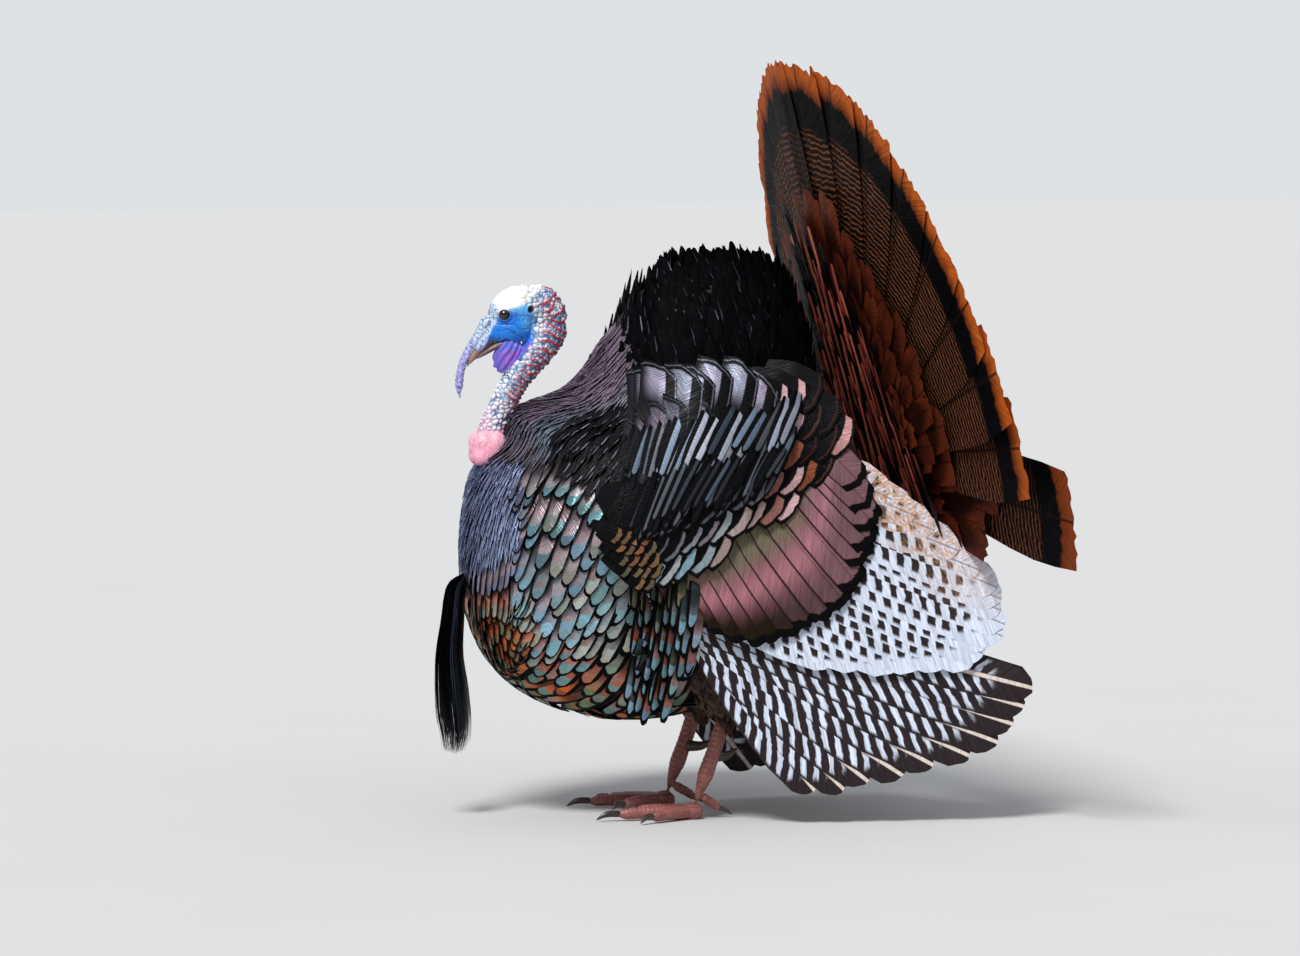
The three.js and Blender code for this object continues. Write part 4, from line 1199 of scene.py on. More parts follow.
# ---------- Eyes and horn ----------
def eye_material(side):
    material, wires = new_material(f"eye {'left' if side < 0 else 'right'}")
    at = wires.object_place()
    centre = (EYE[0] * MM, 0, EYE[1] * MM)
    flat = at
    for operation, value in (("SUBTRACT", centre), ("MULTIPLY", (1, 0, 1))):
        flat = wires.node("ShaderNodeVectorMath", {0: flat, 1: value}, operation=operation).outputs[0]
    apart = wires.node("ShaderNodeVectorMath", {0: flat}, operation="LENGTH").outputs["Value"]
    fibres = wires.noise(at, 1400.0, 2.0)
    iris = wires.mix(fibres, (0.01, 0.004, 0.003), (0.028, 0.01, 0.005))
    colour = wires.fade((0.002, 0.002, 0.002), iris, apart, 0.0025, 0.003)
    colour = wires.fade(colour, (0.02, 0.01, 0.01), apart, 0.0052, 0.006)
    surface(wires, colour, 0.14, Coat_Weight=0.5, Coat_Roughness=0.06)
    return material


class TURKEY_OT_eyes(bpy.types.Operator):
    """Makes the eyeballs with their iris, pupil and wet surface"""

    bl_idname = "turkey.eyes"
    bl_label = "Eyes"

    def execute(self, context):
        for name, side in SIDES.items():
            radii = (EYE_RADIUS, EYE_RADIUS * 1.02, EYE_RADIUS)
            form = ellipsoid((EYE[0], side * EYE_OUT, EYE[1]), radii, sides=40, rings=24)
            mesh = joined([form], f"eyeball_{name}")
            piece = link(f"eyeball_{name}", mesh, eye_material(side))
            finish_piece(piece, "eye", f"eye_{name}")
        return {"FINISHED"}


def horn_material(name, base, tip, tip_from, tip_to):
    """Smooth horn with growth streaks, paler or darker towards its tip along X."""
    material, wires = new_material(name)
    at = wires.object_place()
    x = wires.parts(at)[0]
    streak = wires.noise(at, 420.0, 3.0, (1.0, 4.0, 0.5))
    colour = wires.fade(base, tip, x, tip_from, tip_to)
    colour = wires.dimmed(colour, wires.plus(wires.times(streak, 0.7), 0.62))
    rough = wires.plus(wires.times(streak, 0.2), 0.26)
    surface(wires, colour, rough, streak, depth=0.2, distance=0.0004, Coat_Weight=0.15, Coat_Roughness=0.2)
    return material


class TURKEY_OT_horn(bpy.types.Operator):
    """Makes the bill, the claws and the spurs"""

    bl_idname = "turkey.horn"
    bl_label = "Bill, claws and spurs"

    def execute(self, context):
        def keel(share, turn):
            return 0.25 * np.cos(2 * turn) * share

        upper = limb(BILL_TOP_LINE, (8, 7.6, 6.2, 4.4, 1.0), (8, 7.5, 6, 4, 1.0), relief=keel)
        lower = limb(BILL_LOW_LINE, (4, 3.6, 3.0, 1.0), (6.5, 6, 4.5, 1.2))
        bill = horn_material("bill horn", linear(112, 84, 82), linear(178, 140, 124), -0.236, -0.254)
        for name, form in (("bill_upper", upper), ("bill_lower", lower)):
            mesh = joined([form], f"{name}_horn")
            finish_piece(link(f"{name}_horn", mesh, bill), "horn", name)
        claw_horn = horn_material("claw horn", linear(74, 60, 54), linear(40, 32, 30), -0.06, -0.14)
        for name, side in SIDES.items():
            claws = []
            for heading, length in TOES:
                line = [toe_point(side, heading, length, s, r) for s, r in ((0.74, 0.6), (0.92, 0.6), (1.04, -5.0))]
                claws.append(limb(line, (3.6, 3.0, 0.6), (3.1, 2.5, 0.5), sides=16, rings=14))
            back = [(-12, side * (LEG_OUT - 9), 10), (-2, side * (LEG_OUT - 11), 7), (5, side * (LEG_OUT - 12), 2)]
            claws.append(limb(back, (2.8, 2.2, 0.5), (2.4, 1.9, 0.5), sides=16, rings=14))
            finish_piece(link(f"claws_{name}", joined(claws, f"claws_{name}"), claw_horn), "horn")
            line = [(-20, side * (LEG_OUT - 3), 62), (-2, side * (LEG_OUT - 9), 62), (12, side * (LEG_OUT - 13), 70)]
            spur = limb(line, (6.4, 4.4, 0.7), (5.8, 4, 0.7), sides=24, rings=20)
            piece = link(f"spur_horn_{name}", joined([spur], f"spur_horn_{name}"), claw_horn)
            finish_piece(piece, "horn", f"spur_{name}")
        return {"FINISHED"}


# ---------- Feather finishes ----------
def breast_marks(vane):
    """Copper above, sea-green below, with a black edge behind and at the tip, and painted shade over the part near
    the root, under the tips of the feathers that overlap it.
    """
    turn_at = vane.plus(0.72, vane.times(vane.tint_share, 0.12))
    lower = vane.step(vane.minus(vane.along, turn_at), -0.012, 0.012)
    patch = vane.step(vane.noise(vane.barb, 55.0, 1.0), 0.35, 0.65)
    warm = vane.mix(0.8, vane.tint, (1.0, 0.78, 0.66), "MULTIPLY")
    above = vane.mix(vane.times(patch, 0.45), vane.tone, vane.tint)
    colour = vane.mix(lower, above, vane.mix(patch, vane.tint, warm))
    # painted shade: the part nearer the root turns up to three quarters black, as the shade under the overlapping
    # tips
    colour = vane.mix(vane.times(vane.step(vane.along, 0.72, 0.5), 0.75), colour, vane.black)
    tip = vane.minus(vane.lip, vane.times(vane.tone_share, 0.035))
    behind = vane.plus(vane.signed, vane.times(vane.along, 0.25))
    behind = vane.minus(behind, vane.times(vane.tone_share, 0.35))
    return vane.blackened(colour, (tip, 0.925, 0.94), (behind, 0.56, 0.66), (vane.signed, -0.86, -0.96))


def fine_marks(vane):
    """Hair-fine feathers: bright lines down a dark vane."""
    wave = vane.step(vane.math("COSINE", vane.times(vane.off, 6.3)), -0.8, 0.5)
    line = vane.minus(vane.times(wave, 1.2), vane.step(vane.off, 0.75, 1.0), clamp=True)
    return vane.mix(line, vane.tone, vane.tint)


def hump_marks(vane):
    """Black feathers with a thin bright edge near the tip on one side: grey-blue edges are painted glints, copper and
    orange-brown ones the feathers' own colour.
    """
    edge = vane.times(vane.step(vane.signed, 0.7, 0.82), vane.step(vane.along, 0.45, 0.7), vane.tint_share)
    return vane.mix(edge, vane.tint, vane.tone)


def scapular_marks(vane):
    """Pearly towards a square tip with a fine pale rim, black down the rear side."""
    colour = vane.fade(vane.tone, vane.tint, vane.along, 0.55, 0.84)
    colour = vane.fade(colour, vane.tone, vane.signed, -0.35, -0.95)
    lines = vane.math("SINE", vane.times(vane.lip, 240.0))
    fine = vane.times(vane.step(lines, 0.5, 0.9), vane.between(vane.lip, 0.84, 0.93, 0.03), 0.7)
    colour = vane.mix(fine, colour, vane.black)
    colour = vane.blackened(colour, (vane.signed, 0.28, 0.36), (vane.lip, 0.93, 0.945))
    side_rim = vane.times(vane.between(vane.signed, 0.86, 0.93, 0.02), vane.step(vane.along, 0.3, 0.6))
    rim = vane.math("MAXIMUM", vane.between(vane.lip, 0.972, 0.984, 0.004), side_rim)
    return vane.mix(vane.times(rim, vane.tone_share), colour, linear(150, 156, 172))


def covert_marks(vane):
    """Black coverts with a bright bar inside their black edge, as broad as the tint's share says."""
    inner = vane.minus(0.925, vane.times(vane.tint_share, 0.15))
    bar = vane.step(vane.minus(vane.lip, inner), -0.012, 0.012)
    middle = vane.math("ABSOLUTE", vane.plus(vane.signed, 0.08))
    bar = vane.times(bar, vane.step(middle, 0.96, 0.86), vane.step(vane.tint_share, -0.2, 0.5))
    return vane.blackened(vane.mix(bar, vane.tone, vane.tint), (vane.lip, 0.952, 0.966))


def panel_marks(vane):
    """Copper-pink coverts with a thin dark edge, a black tip and a painted highlight across their middle."""
    colour = vane.fade(linear(116, 110, 88), vane.tint, vane.along, 0.2, 0.5)
    # painted highlight: a bright pink band across the middle of each feather
    painted_sheen = vane.times(vane.between(vane.along, 0.44, 0.62, 0.14), 0.6)
    colour = vane.mix(painted_sheen, colour, linear(204, 138, 150))
    colour = vane.fade(colour, vane.tone, vane.along, 0.46, 0.84)
    colour = vane.mix(vane.times(vane.shaft, 0.35), colour, vane.black)
    colour = vane.fade(colour, linear(46, 28, 28), vane.off, 0.88, 0.96)
    return vane.blackened(colour, (vane.lip, 0.925, 0.94))


def barred(vane, period, slope, low, high, soft, jitter, wave=90.0):
    """Wavy bars across a feather, from its map of real lengths."""
    x, y = vane.parts(vane.barb)
    ripple = vane.minus(vane.noise(vane.barb, wave, 2.0), 0.5)
    run = vane.plus(vane.plus(y, vane.times(x, slope)), vane.times(ripple, jitter))
    phase = vane.math("FRACT", vane.math("DIVIDE", run, period))
    return vane.between(phase, low, high, soft)


def primary_marks(vane):
    """Broad dark bars on white, dark along the edge, the shaft and the tip."""
    bars = barred(vane, 0.0165, 0.0, 0.08, 0.68, 0.05, 0.009)
    edge = vane.math("MAXIMUM", vane.step(vane.off, 0.78, 0.95), vane.step(vane.off, 0.2, 0.08))
    colour = vane.mix(vane.math("MAXIMUM", bars, edge), vane.white, vane.bar)
    colour = vane.fade(colour, vane.bar, vane.along, 0.86, 0.92)
    return vane.mix(vane.shaft, colour, linear(214, 200, 190))


def secondary_marks(vane):
    """Dark spots on white, which turns to tan towards the tip of the inner feathers."""
    bars = barred(vane, 0.0155, 0.4, 0.08, 0.58, 0.05, 0.007)
    inner = vane.between(vane.off, 0.14, 0.72, 0.08)
    spots = vane.times(bars, inner, vane.minus(1.0, vane.step(vane.lip, 0.9, 0.95)))
    colour = vane.mix(spots, vane.white, vane.bar)
    mottle = vane.step(vane.noise(vane.barb, 300.0, 3.0), 0.35, 0.6)
    warm = vane.times(vane.tint_share, vane.step(vane.lip, 0.7, 0.92), mottle)
    colour = vane.mix(warm, colour, vane.tan)
    return vane.mix(vane.times(vane.shaft, 0.6), colour, linear(120, 100, 92))


def tail_marks(vane):
    """Fine wavy bars, a broad black band and a bright tip, with painted shade down the inner side where the next
    feather's edge lies over it.
    """
    bars = barred(vane, 0.0064, 0.9, 0.12, 0.46, 0.06, 0.009, wave=70.0)
    ground = vane.mix(vane.tone_share, vane.tail_dark, vane.black)
    colour = vane.mix(vane.times(bars, vane.tint_share), ground, vane.tail)
    # painted shade: the inner side darkens towards black, beside the edge of the next feather that overlaps it
    colour = vane.mix(vane.times(vane.step(vane.signed, 0.2, -0.4), 0.7), colour, vane.black)
    colour = vane.blackened(colour, (vane.lip, 0.8, 0.83))
    tip = vane.fade(vane.tone, vane.tint, vane.lip, 0.925, 0.99)
    colour = vane.fade(colour, tip, vane.lip, 0.92, 0.94)
    return vane.mix(vane.times(vane.shaft, 0.8), colour, vane.tail_dark)


def tail_covert_marks(vane):
    """Rust feathers with a dark band before a brighter tip."""
    dark = vane.between(vane.lip, 0.7, 0.84, 0.08)
    colour = vane.mix(vane.times(dark, 0.35), vane.tint, vane.black)
    colour = vane.fade(colour, vane.tone, vane.lip, 0.84, 0.98)
    return vane.mix(vane.times(vane.shaft, 0.5), colour, vane.black)


def stripe_marks(vane):
    """A pale stripe down a black vane, from below its root to just short of its tip."""
    wave = vane.times(vane.minus(vane.lip, vane.along), 2.0)
    stripe = vane.between(vane.plus(vane.signed, wave), -0.5, 0.3, 0.08)
    stripe = vane.times(stripe, vane.step(vane.along, 0.0, 0.15), vane.step(vane.lip, 0.97, 0.94))
    return vane.mix(stripe, vane.black, vane.tint)


def streak_marks(vane):
    """Narrow feathers, bright along one side and black along the other."""
    return vane.mix(vane.between(vane.signed, -0.85, 0.5, 0.12), vane.black, vane.tint)


def down_marks(vane):
    """Plain feathers that change colour at the tip."""
    return vane.fade(vane.tint, vane.tone, vane.lip, 0.8, 0.95)


# ---------- Body coat ----------
class TURKEY_OT_body_coat(bpy.types.Operator):
    """Grows the breast, crop, cape, shoulder, back, rump and belly feathers"""

    bl_idname = "turkey.body_coat"
    bl_label = "Body feathers"

    def execute(self, context):
        self.body = BodySurface()
        self.colours = context.scene.turkey_feathers
        self.seed = context.scene.turkey_sizes.seed
        self.turn, self.tilt = torso_lattice(np.random.default_rng(self.seed), 2.5)
        self.spots, self.normals = self.body.settle(torso_point(self.turn, self.tilt))
        for grow in (self.breast, self.crop, self.cape, self.shoulder, self.hump, self.belly, self.thighs):
            grow()
        return {"FINISHED"}

    def within(self, *areas):
        """Which spots on the torso lie in any of the areas of the side view."""
        return np.any([inside(area, self.spots[:, 0], self.spots[:, 2]) for area in areas], axis=0)

    def bed(self, where, guides, long, wide, upward=False, under=False):
        """Picks the feathers' roots where the mask says. Returns root, normal, ahead and unwrap."""
        spots, normals = self.spots[where], self.normals[where]
        flow = guided(guides, spots[:, 0], spots[:, 2])
        ahead = np.stack([flow[:, 0], np.zeros(len(flow)), flow[:, 1]], -1)
        if under:
            ahead[:, 0] *= 1 - 0.9 * smooth(-normals[:, 0], 0.45, 0.8)
            share = smooth(-normals[:, 2], 0.72, 0.93)[:, None]
            ahead = ahead * (1 - share) + np.array([1.0, 0, 0]) * share
        ahead = unit(ahead - normals * (ahead * normals).sum(-1, keepdims=True))
        order = spots[:, 2] * (1 if upward else -1) + smooth(-normals[:, 2], 0.5, 0.85) * spots[:, 0]
        long, wide = (value[where] if np.ndim(value) else np.full(len(spots), value) for value in (long, wide))
        kept = spaced(order, spots, normals, ahead, long, wide)
        places = np.stack([np.mod(self.turn[where], 1), self.tilt[where] / np.pi], -1)
        return spots[kept], normals[kept], ahead[kept], places[kept]

    def start(self, offset, where, guides, long, wide, **how):
        """A coat with seeded draws of its own, and the bed that it grows from."""
        bed = self.bed(where, guides, long, wide, **how)
        return Coat(self.seed + offset, len(bed[0])), bed

    def grow(self, coat, look, length, width, bed, tint, tone, lift=None, bow=0.0):
        """Feathers that lie on the torso, or that stand off it by a lift in degrees."""
        root, normal, ahead, places = bed
        side = rearward(ahead, normal)
        flip = (np.cross(ahead, normal) * side).sum(-1) < 0
        if lift is None:
            place = laid_on(self.body, root, ahead, side)
        else:
            place = raised_from(root, ahead, normal, side, lift, bow)
        coat.grow(look, length, width, place, places, tint, tone, flip=flip)

    def crop_share(self, x, z):
        """From 0 over the crop's fine feathers to 1 where the breast's broad ones begin."""
        return smooth(0.95 * (x + 200) + 0.45 * np.maximum(325 - z, -20) + 0.9 * np.maximum(0, 305 - z), -26, 8)

    def front_area(self):
        """Where breast and crop share the torso."""
        taken = self.within(HUMP_AREA, CAPE_AREA, SHOULDER_AREA)
        return ~taken & (self.spots[:, 0] < 60) & (self.spots[:, 2] < 388)

    def plates(self, x, z):
        """How broad the breast's feathers are, and how small they stay low on its front."""
        return self.crop_share(x, z), smooth(-x, 175, 215) * smooth(z, 285, 245)

    def breast(self):
        """Blades that broaden towards the belly and flanks."""
        big, small = self.plates(self.spots[:, 0], self.spots[:, 2])
        coat, bed = self.start(1, self.front_area() & (big > 0.35), BREAST_FLOW, 16 + 16 * big - 13 * small,
            5 + 6 * big - 2 * small, under=True)
        x, _, z = bed[0].T
        big, small = self.plates(x, z)
        low = np.clip(smooth(z, 265, 160) + 0.6 * smooth(-x, 185, 235) * smooth(z, 285, 245), 0, 1)
        low = np.clip(low + 0.3 * (coat.draws() - 0.5), 0, 1)
        flank = smooth(x + 0.25 * (z - 250), -150, -110) * smooth(z, 300, 260)
        tone = painted(linear(164, 142, 146),
            (self.colours.copper, smooth(low, 0.1, 0.45)),
            (self.colours.orange, smooth(low, 0.45, 0.95)),
            (linear(120, 150, 156), 0.7 * flank * (coat.draws() > 0.4)))
        tint = painted(self.colours.teal,
            (linear(140, 166, 198), coat.draws() * 0.7),
            (linear(182, 184, 168), (coat.draws() > 0.65) * 0.7),
            (linear(88, 120, 88), smooth(low, 0.3, 0.8) * (0.4 + 0.6 * coat.draws())),
            (linear(150, 104, 54), 0.8 * small * coat.draws()),
            (linear(190, 92, 48), 0.8 * smooth(low, 0.45, 0.85) * (coat.draws() > 0.7)),
            (linear(140, 148, 180), smooth(big, 0.9, 0.5)))
        tint = tint * (1 - 0.35 * smooth(z, 285, 335))[:, None]
        look = Look(across=6, down=10, rise=(-6.5, 1.8), roll=9, rounding=1.0, peak=-0.4, ragged=1.4,
            blade=(0.4, 0.8, 1, 1, 0.85))
        self.grow(coat, look, coat.vary(52 + 30 * big - 30 * small, 0.92, 0.16),
            coat.vary(8 + 10 * big - 4 * small, 0.92, 0.16), bed, coat.dyed(tint, 0.3),
            coat.dyed(tone, 0.3, np.clip(1 - low - flank + 0.2 * coat.draws(), 0, 1)))
        material = feather_material("breast feathers", breast_marks, metal=0.55, rough=0.32, Curve=0.05)
        coat.piece("coat_breast", material, "body_feathers")

    def crop(self):
        """Hair-fine feathers over the crop."""
        share = self.crop_share(self.spots[:, 0], self.spots[:, 2])
        coat, bed = self.start(2, self.front_area() & (share < 0.42), BREAST_FLOW, 9.5, 3.0, under=True)
        z = bed[0][:, 2]
        tint = painted(self.colours.throat,
            (linear(134, 124, 146), coat.draws() * 0.6),
            (linear(150, 118, 76), 0.85 * smooth(z + 20 * coat.draws(), 290, 240)))
        look = Look(across=2, down=7, blade=(0.4, 0.9, 1, 0.8, 0.35), rise=(-6, 1.6), roll=9, rounding=1.4,
            ragged=2.5)
        self.grow(coat, look, coat.vary(44), coat.vary(6.2), bed, coat.dyed(tint, 0.35),
            coat.dyed(linear(44, 46, 62), 0.3))
        material = feather_material("crop feathers", fine_marks, metal=0.5, rough=0.4)
        coat.piece("coat_crop", material, "body_feathers")

    def cape(self):
        """Hair-fine feathers at the foot of the neck."""
        coat, bed = self.start(3, self.within(CAPE_AREA), CAPE_FLOW, 11.0, 2.9)
        x, y, z = bed[0].T
        crest = smooth(52 - np.abs(y), 0, 12) * smooth(x, -196, -180)
        tint = painted(self.colours.cape,
            (linear(124, 142, 160), smooth(x, -205, -175) * smooth(z, 445, 400) * 0.8),
            (linear(64, 48, 38), smooth(z + 10 * coat.draws(), 404, 388)),
            (linear(168, 140, 158), smooth(cloud(bed[0], 30, 5), 0.5, 0.75) * smooth(z, 400, 440) * 0.6),
            (linear(176, 152, 178), crest * (0.4 + 0.6 * coat.draws())))
        tone = painted(linear(22, 20, 24), (linear(112, 90, 112), crest * 0.4))
        look = Look(across=2, down=7, blade=(0.4, 0.9, 1, 0.7, 0.25), rise=(-6, 1.5), roll=8, rounding=1.6, ragged=3)
        self.grow(coat, look, coat.vary(44) + 4 * smooth(z, 404, 388), coat.vary(5.6, 0.9, 0.2), bed,
            coat.dyed(tint, 0.16), coat.dyed(tone, 0.3))
        material = feather_material("cape feathers", fine_marks, metal=0.4, rough=0.4)
        coat.piece("coat_cape", material, "body_feathers")

    def shoulder(self):
        """Narrow black feathers with a bright side, over the shoulder: the blue-grey and lilac-grey sides are painted
        highlights, the orange-brown ones low down the feathers' own colour.
        """
        coat, bed = self.start(4, self.within(SHOULDER_AREA), SHOULDER_FLOW, 17.0, 6.0)
        z = bed[0][:, 2]
        bright = 0.4 + 0.6 * coat.draws()
        # edge: blue-grey and lilac-grey are painted highlights down the feathers' bright side; orange-brown low down
        # is their own colour
        edge = painted(linear(120, 136, 156),
            (linear(168, 164, 186), coat.draws()),
            (linear(140, 78, 42), smooth(z + 12 * coat.draws(), 350, 330)))
        look = Look(across=2, down=8, blade=(0.4, 0.9, 1, 0.85, 0.4), rise=(-5, 4), roll=10, rounding=1.4, ragged=3)
        self.grow(coat, look, coat.vary(62), coat.vary(12), bed, coat.dyed(linear(13, 12, 14), 0.4, bright),
            coat.dyed(edge, 0.3))
        material = feather_material("shoulder feathers", hump_marks, metal=0.2, rough=0.42)
        coat.piece("coat_shoulder", material, "body_feathers")

    def hump(self):
        """The raised back."""
        coat, (root, normal, ahead, places) = self.start(5, self.within(HUMP_AREA), HUMP_FLOW, 12.0, 7.0, upward=True)
        top = smooth(normal[:, 2], 0.3, 0.9)
        ahead = unit(ahead + np.array([-0.1, 0, 0.8]) * top[:, None])
        outward = unit(np.cross(np.cross(ahead, normal), ahead))
        sunk = root - normal * (11 + 27 * top)[:, None]
        lift = 13 + 7 * coat.draws() + 20 * smooth(normal[:, 2], 0.6, 0.95)
        look = Look(across=4, down=8, blade=(0.4, 0.85, 1, 0.95, 0.6), rise=(0, 0), roll=9, rounding=1.2, ragged=5,
            camber=0.2)
        copper = smooth(root[:, 0] + 0.25 * (root[:, 2] - 450), 66, 100) * (coat.draws() > 0.35)
        # edge: grey-blue edges are painted glints on the black back, the copper ones towards the rump are the
        # feathers' own colour
        edge = painted(linear(112, 110, 126), (linear(150, 84, 66), copper))
        dark = coat.dyed(self.colours.black, 0.4, 0.9 * coat.draws() ** 3)
        self.grow(coat, look, coat.vary(54, 0.8, 0.35), coat.vary(13.5), (sunk, outward, ahead, places), dark,
            coat.dyed(edge, 0.4), lift, bow=4)
        material = feather_material("back feathers", hump_marks, rough=0.5, gloss=0.02)
        coat.piece("coat_back", material, "body_feathers")

    def belly(self):
        """Plain brown feathers below and behind."""
        where = ~self.within(HUMP_AREA, SHOULDER_AREA) & (self.spots[:, 0] >= 52)
        coat, bed = self.start(6, where, REAR_FLOW, 17.0, 12.0)
        look = Look(across=4, down=7, rise=(-6, 3), roll=8, rounding=0.9, ragged=4, blade=(0.4, 0.85, 1, 0.95, 0.7))
        self.grow(coat, look, coat.vary(54), coat.vary(22), bed, coat.dyed(linear(50, 39, 33), 0.3),
            coat.dyed(linear(92, 70, 54), 0.3))
        material = feather_material("belly feathers", down_marks, metal=0.1, rough=0.5)
        coat.piece("coat_belly", material, "body_feathers")

    def thighs(self):
        """Feathers that hang round the thighs."""
        coat = Coat(self.seed + 8)
        look = Look(across=2, down=6, rise=(-3, 2), roll=8, rounding=0.9, ragged=3)
        for side in SIDES.values():
            for z, radius, count in THIGH_ROWS:
                coat.row(count)
                turn = (np.arange(count) + coat.draws() * 0.4) / count * 2 * np.pi
                out = np.stack([np.cos(turn), np.sin(turn), np.zeros(count)], -1)
                centre = np.array([np.interp(z, [102, 160, 205], [-2, -28, -48]), side * LEG_OUT, z])
                ahead = unit(np.array([0.25, 0, -1]) - 0.3 * out)
                normal = unit(out - ahead * (out * ahead).sum(-1, keepdims=True))
                bed = centre + out * radius, normal, ahead, np.stack([turn / 7, np.full(count, z / 200)], -1)
                self.grow(coat, look, coat.vary(44), 15.0, bed, coat.dyed(linear(48, 38, 33), 0.3),
                    coat.dyed(linear(82, 64, 52), 0.3), lift=0.0)
        material = feather_material("thigh feathers", down_marks, metal=0.1, rough=0.5)
        coat.piece("coat_thighs", material, "body_feathers")


# ---------- Wing feathers ----------
class TURKEY_OT_wings(bpy.types.Operator):
    """Grows both wings: flight feathers, coverts row by row and the pale shoulder feathers"""

    bl_idname = "turkey.wings"
    bl_label = "Wing feathers"

    def execute(self, context):
        self.colours = context.scene.turkey_feathers
        flight = feather_material("primary feathers", primary_marks, rough=0.5, lines=520.0, Shaft=0.07)
        inner = feather_material("secondary feathers", secondary_marks, rough=0.5, lines=520.0, Ripple=0.03)
        panel = feather_material("greater coverts", panel_marks, metal=0.4, rough=0.38, lines=520.0, Ripple=0.03,
            Curve=0.03)
        covert = feather_material("small coverts", covert_marks, metal=0.35, rough=0.4, Ripple=0.04, Curve=0.06)
        blade = feather_material("flank feathers", breast_marks, metal=0.5, rough=0.34)
        pale = feather_material("shoulder coverts", scapular_marks, metal=0.35, rough=0.38, Ripple=0.02, Curve=0.03)
        stripe = feather_material("mantle feathers", stripe_marks, metal=0.3, rough=0.4)
        wing = "wing_feathers"
        pieces = (  # seed, name, what grows it, finish, slot
            (20, "primaries", self.primaries, flight, wing),
            (24, "secondaries", self.secondaries, inner, wing),
            (28, "greater_coverts", self.greater_coverts, panel, wing),
            (32, "small_coverts", self.small_coverts, covert, wing),
            (40, "flank_feathers", self.flank, blade, "body_feathers"),
            (36, "scapulars", self.scapulars, pale, wing),
            (44, "mantle", self.mantle, stripe, wing),
        )
        for name, side in SIDES.items():
            for offset, label, grow, material, slot in pieces:
                coat = Coat(context.scene.turkey_sizes.seed + offset + side)
                grow(coat, side)
                stood_for = [f"wing_{name}"] if label == "primaries" else []
                coat.piece(f"{label}_{name}", material, slot, *stood_for)
        return {"FINISHED"}

    def primaries(self, coat, side):
        grow_tier(coat, side, FLIGHT, 10, PRIMARY_ROOTS, PRIMARY_TIPS, 44, -14, UNDYED, UNDYED, -6)

    def secondaries(self, coat, side):
        count = 18
        warm = np.zeros((count, 4))
        warm[:, 3] = smooth(np.arange(count), 9, 0)
        grow_tier(coat, side, FLIGHT, count, SECONDARY_ROOTS, SECONDARY_TIPS, 46, -6.5, warm, UNDYED, -5)

    def greater_coverts(self, coat, side):
        """The copper-pink panel."""
        coat.row(17)
        order = np.arange(coat.number)
        look = replace(COVERT, blade=(0.5, 0.9, 1, 1, 0.9), rounding=0.3, ragged=4, camber=0.06)
        mauve = painted(self.colours.covert, (linear(116, 90, 96), smooth(order, 8, 1)))
        low = painted(linear(124, 90, 96), (linear(34, 26, 15), smooth(order, 4, 10)))
        grow_tier(coat, side, look, coat.number, GREATER_ROOTS, GREATER_TIPS, 36, 1, coat.dyed(mauve, 0.08),
            coat.dyed(low, 0.1), -5)

    def scapulars(self, coat, side):
        """Pale square-tipped feathers along the shoulder, in two rows."""
        bow = 16.0
        for row, (count, drop, width, layer) in enumerate(((8, 0, 40, 19.5), (7, 34, 34, 20.5))):
            coat.row(count)
            share = (np.arange(count) + 0.5 * (row % 2) + 0.5 * (coat.draws() - 0.5)) / (count - 0.4)
            share = np.clip(share, 0, 1) * (0.82 if side < 0 else 0.7)
            tip = along(SCAPULAR_TIPS, share) + np.array([-0.2, -1.0]) * drop
            tip = tip + coat.scatter(5, 12)
            lean = unit(np.stack([0.55 - 0.25 * share, np.full(count, 0.85)], -1))
            root = tip - lean * (106 - 44 * share**2)[:, None] + np.array([bow, 0])
            look = replace(COVERT, down=16, roll=9, rounding=0.26, peak=-0.2, blade=(0.5, 0.85, 1, 1, 0.95), ragged=3)
            pearl = painted(self.colours.pearl,
                (linear(160, 138, 160), coat.draws() * 0.8),
                (linear(30, 30, 36), np.maximum(smooth(share, 0.68, 0.78), 0.8 * row)))
            tint = coat.dyed(pearl * 0.8, 0.35)
            tone = coat.dyed(linear(15, 14, 18), 0.3, 0.28 - 0.2 * row)
            front = smooth(share, 0.45, 0.8)
            grow_on_wing(
                coat, side, look, root, tip + [bow, 0], width - 20 * front, layer - 8 * front, tint, tone, bow)

    def mantle(self, coat, side):
        """Narrow striped feathers that hang over the shoulder from below the pale ones."""
        look = Look(across=6, down=12, blade=(0.3, 0.8, 1, 1, 0.8), rise=(0, 0), roll=8, rounding=0.9, peak=-0.3,
            ragged=3)
        for row, (count, drop) in enumerate(((16, -8), (16, 6), (15, 20), (16, 36), (22, 50), (22, 62))):
            coat.row(count)
            share = np.clip((np.arange(count) + 0.5 * (row % 2) + 0.5 * coat.draws()) / count, 0, 1)
            fall = np.stack([-0.3 * np.full(count, drop), -drop * (1 - 0.4 * (row > 3) * (1 - share))], -1)
            root = along(MANTLE_ROOTS, share) + fall + coat.scatter(4, 16)
            tip = along(MANTLE_TIPS, share) + fall + coat.scatter(4, 16)
            pale = coat.draws() ** (0.7 + 0.4 * row) * max(1.1 - 0.25 * row, 0.3) * smooth(share, 1, 0.86)
            tint = painted(linear(190, 188, 200), (linear(150, 176, 204), coat.draws()))
            tint = painted(linear(14, 14, 18), (tint, np.minimum(pale, 1)))
            layer = 24.5 - 1.2 * row - 10 * smooth(-tip[:, 0], 90, 150)
            if row > 3:
                layer = 26.5 - 0.8 * (row - 4) - 1.5 * smooth(-tip[:, 0], 90, 150)
            width = 13 if row < 3 else 8.5
            grow_on_wing(coat, side, look, root, tip, width, layer, coat.dyed(tint, 0.2), UNDYED, 5.0)

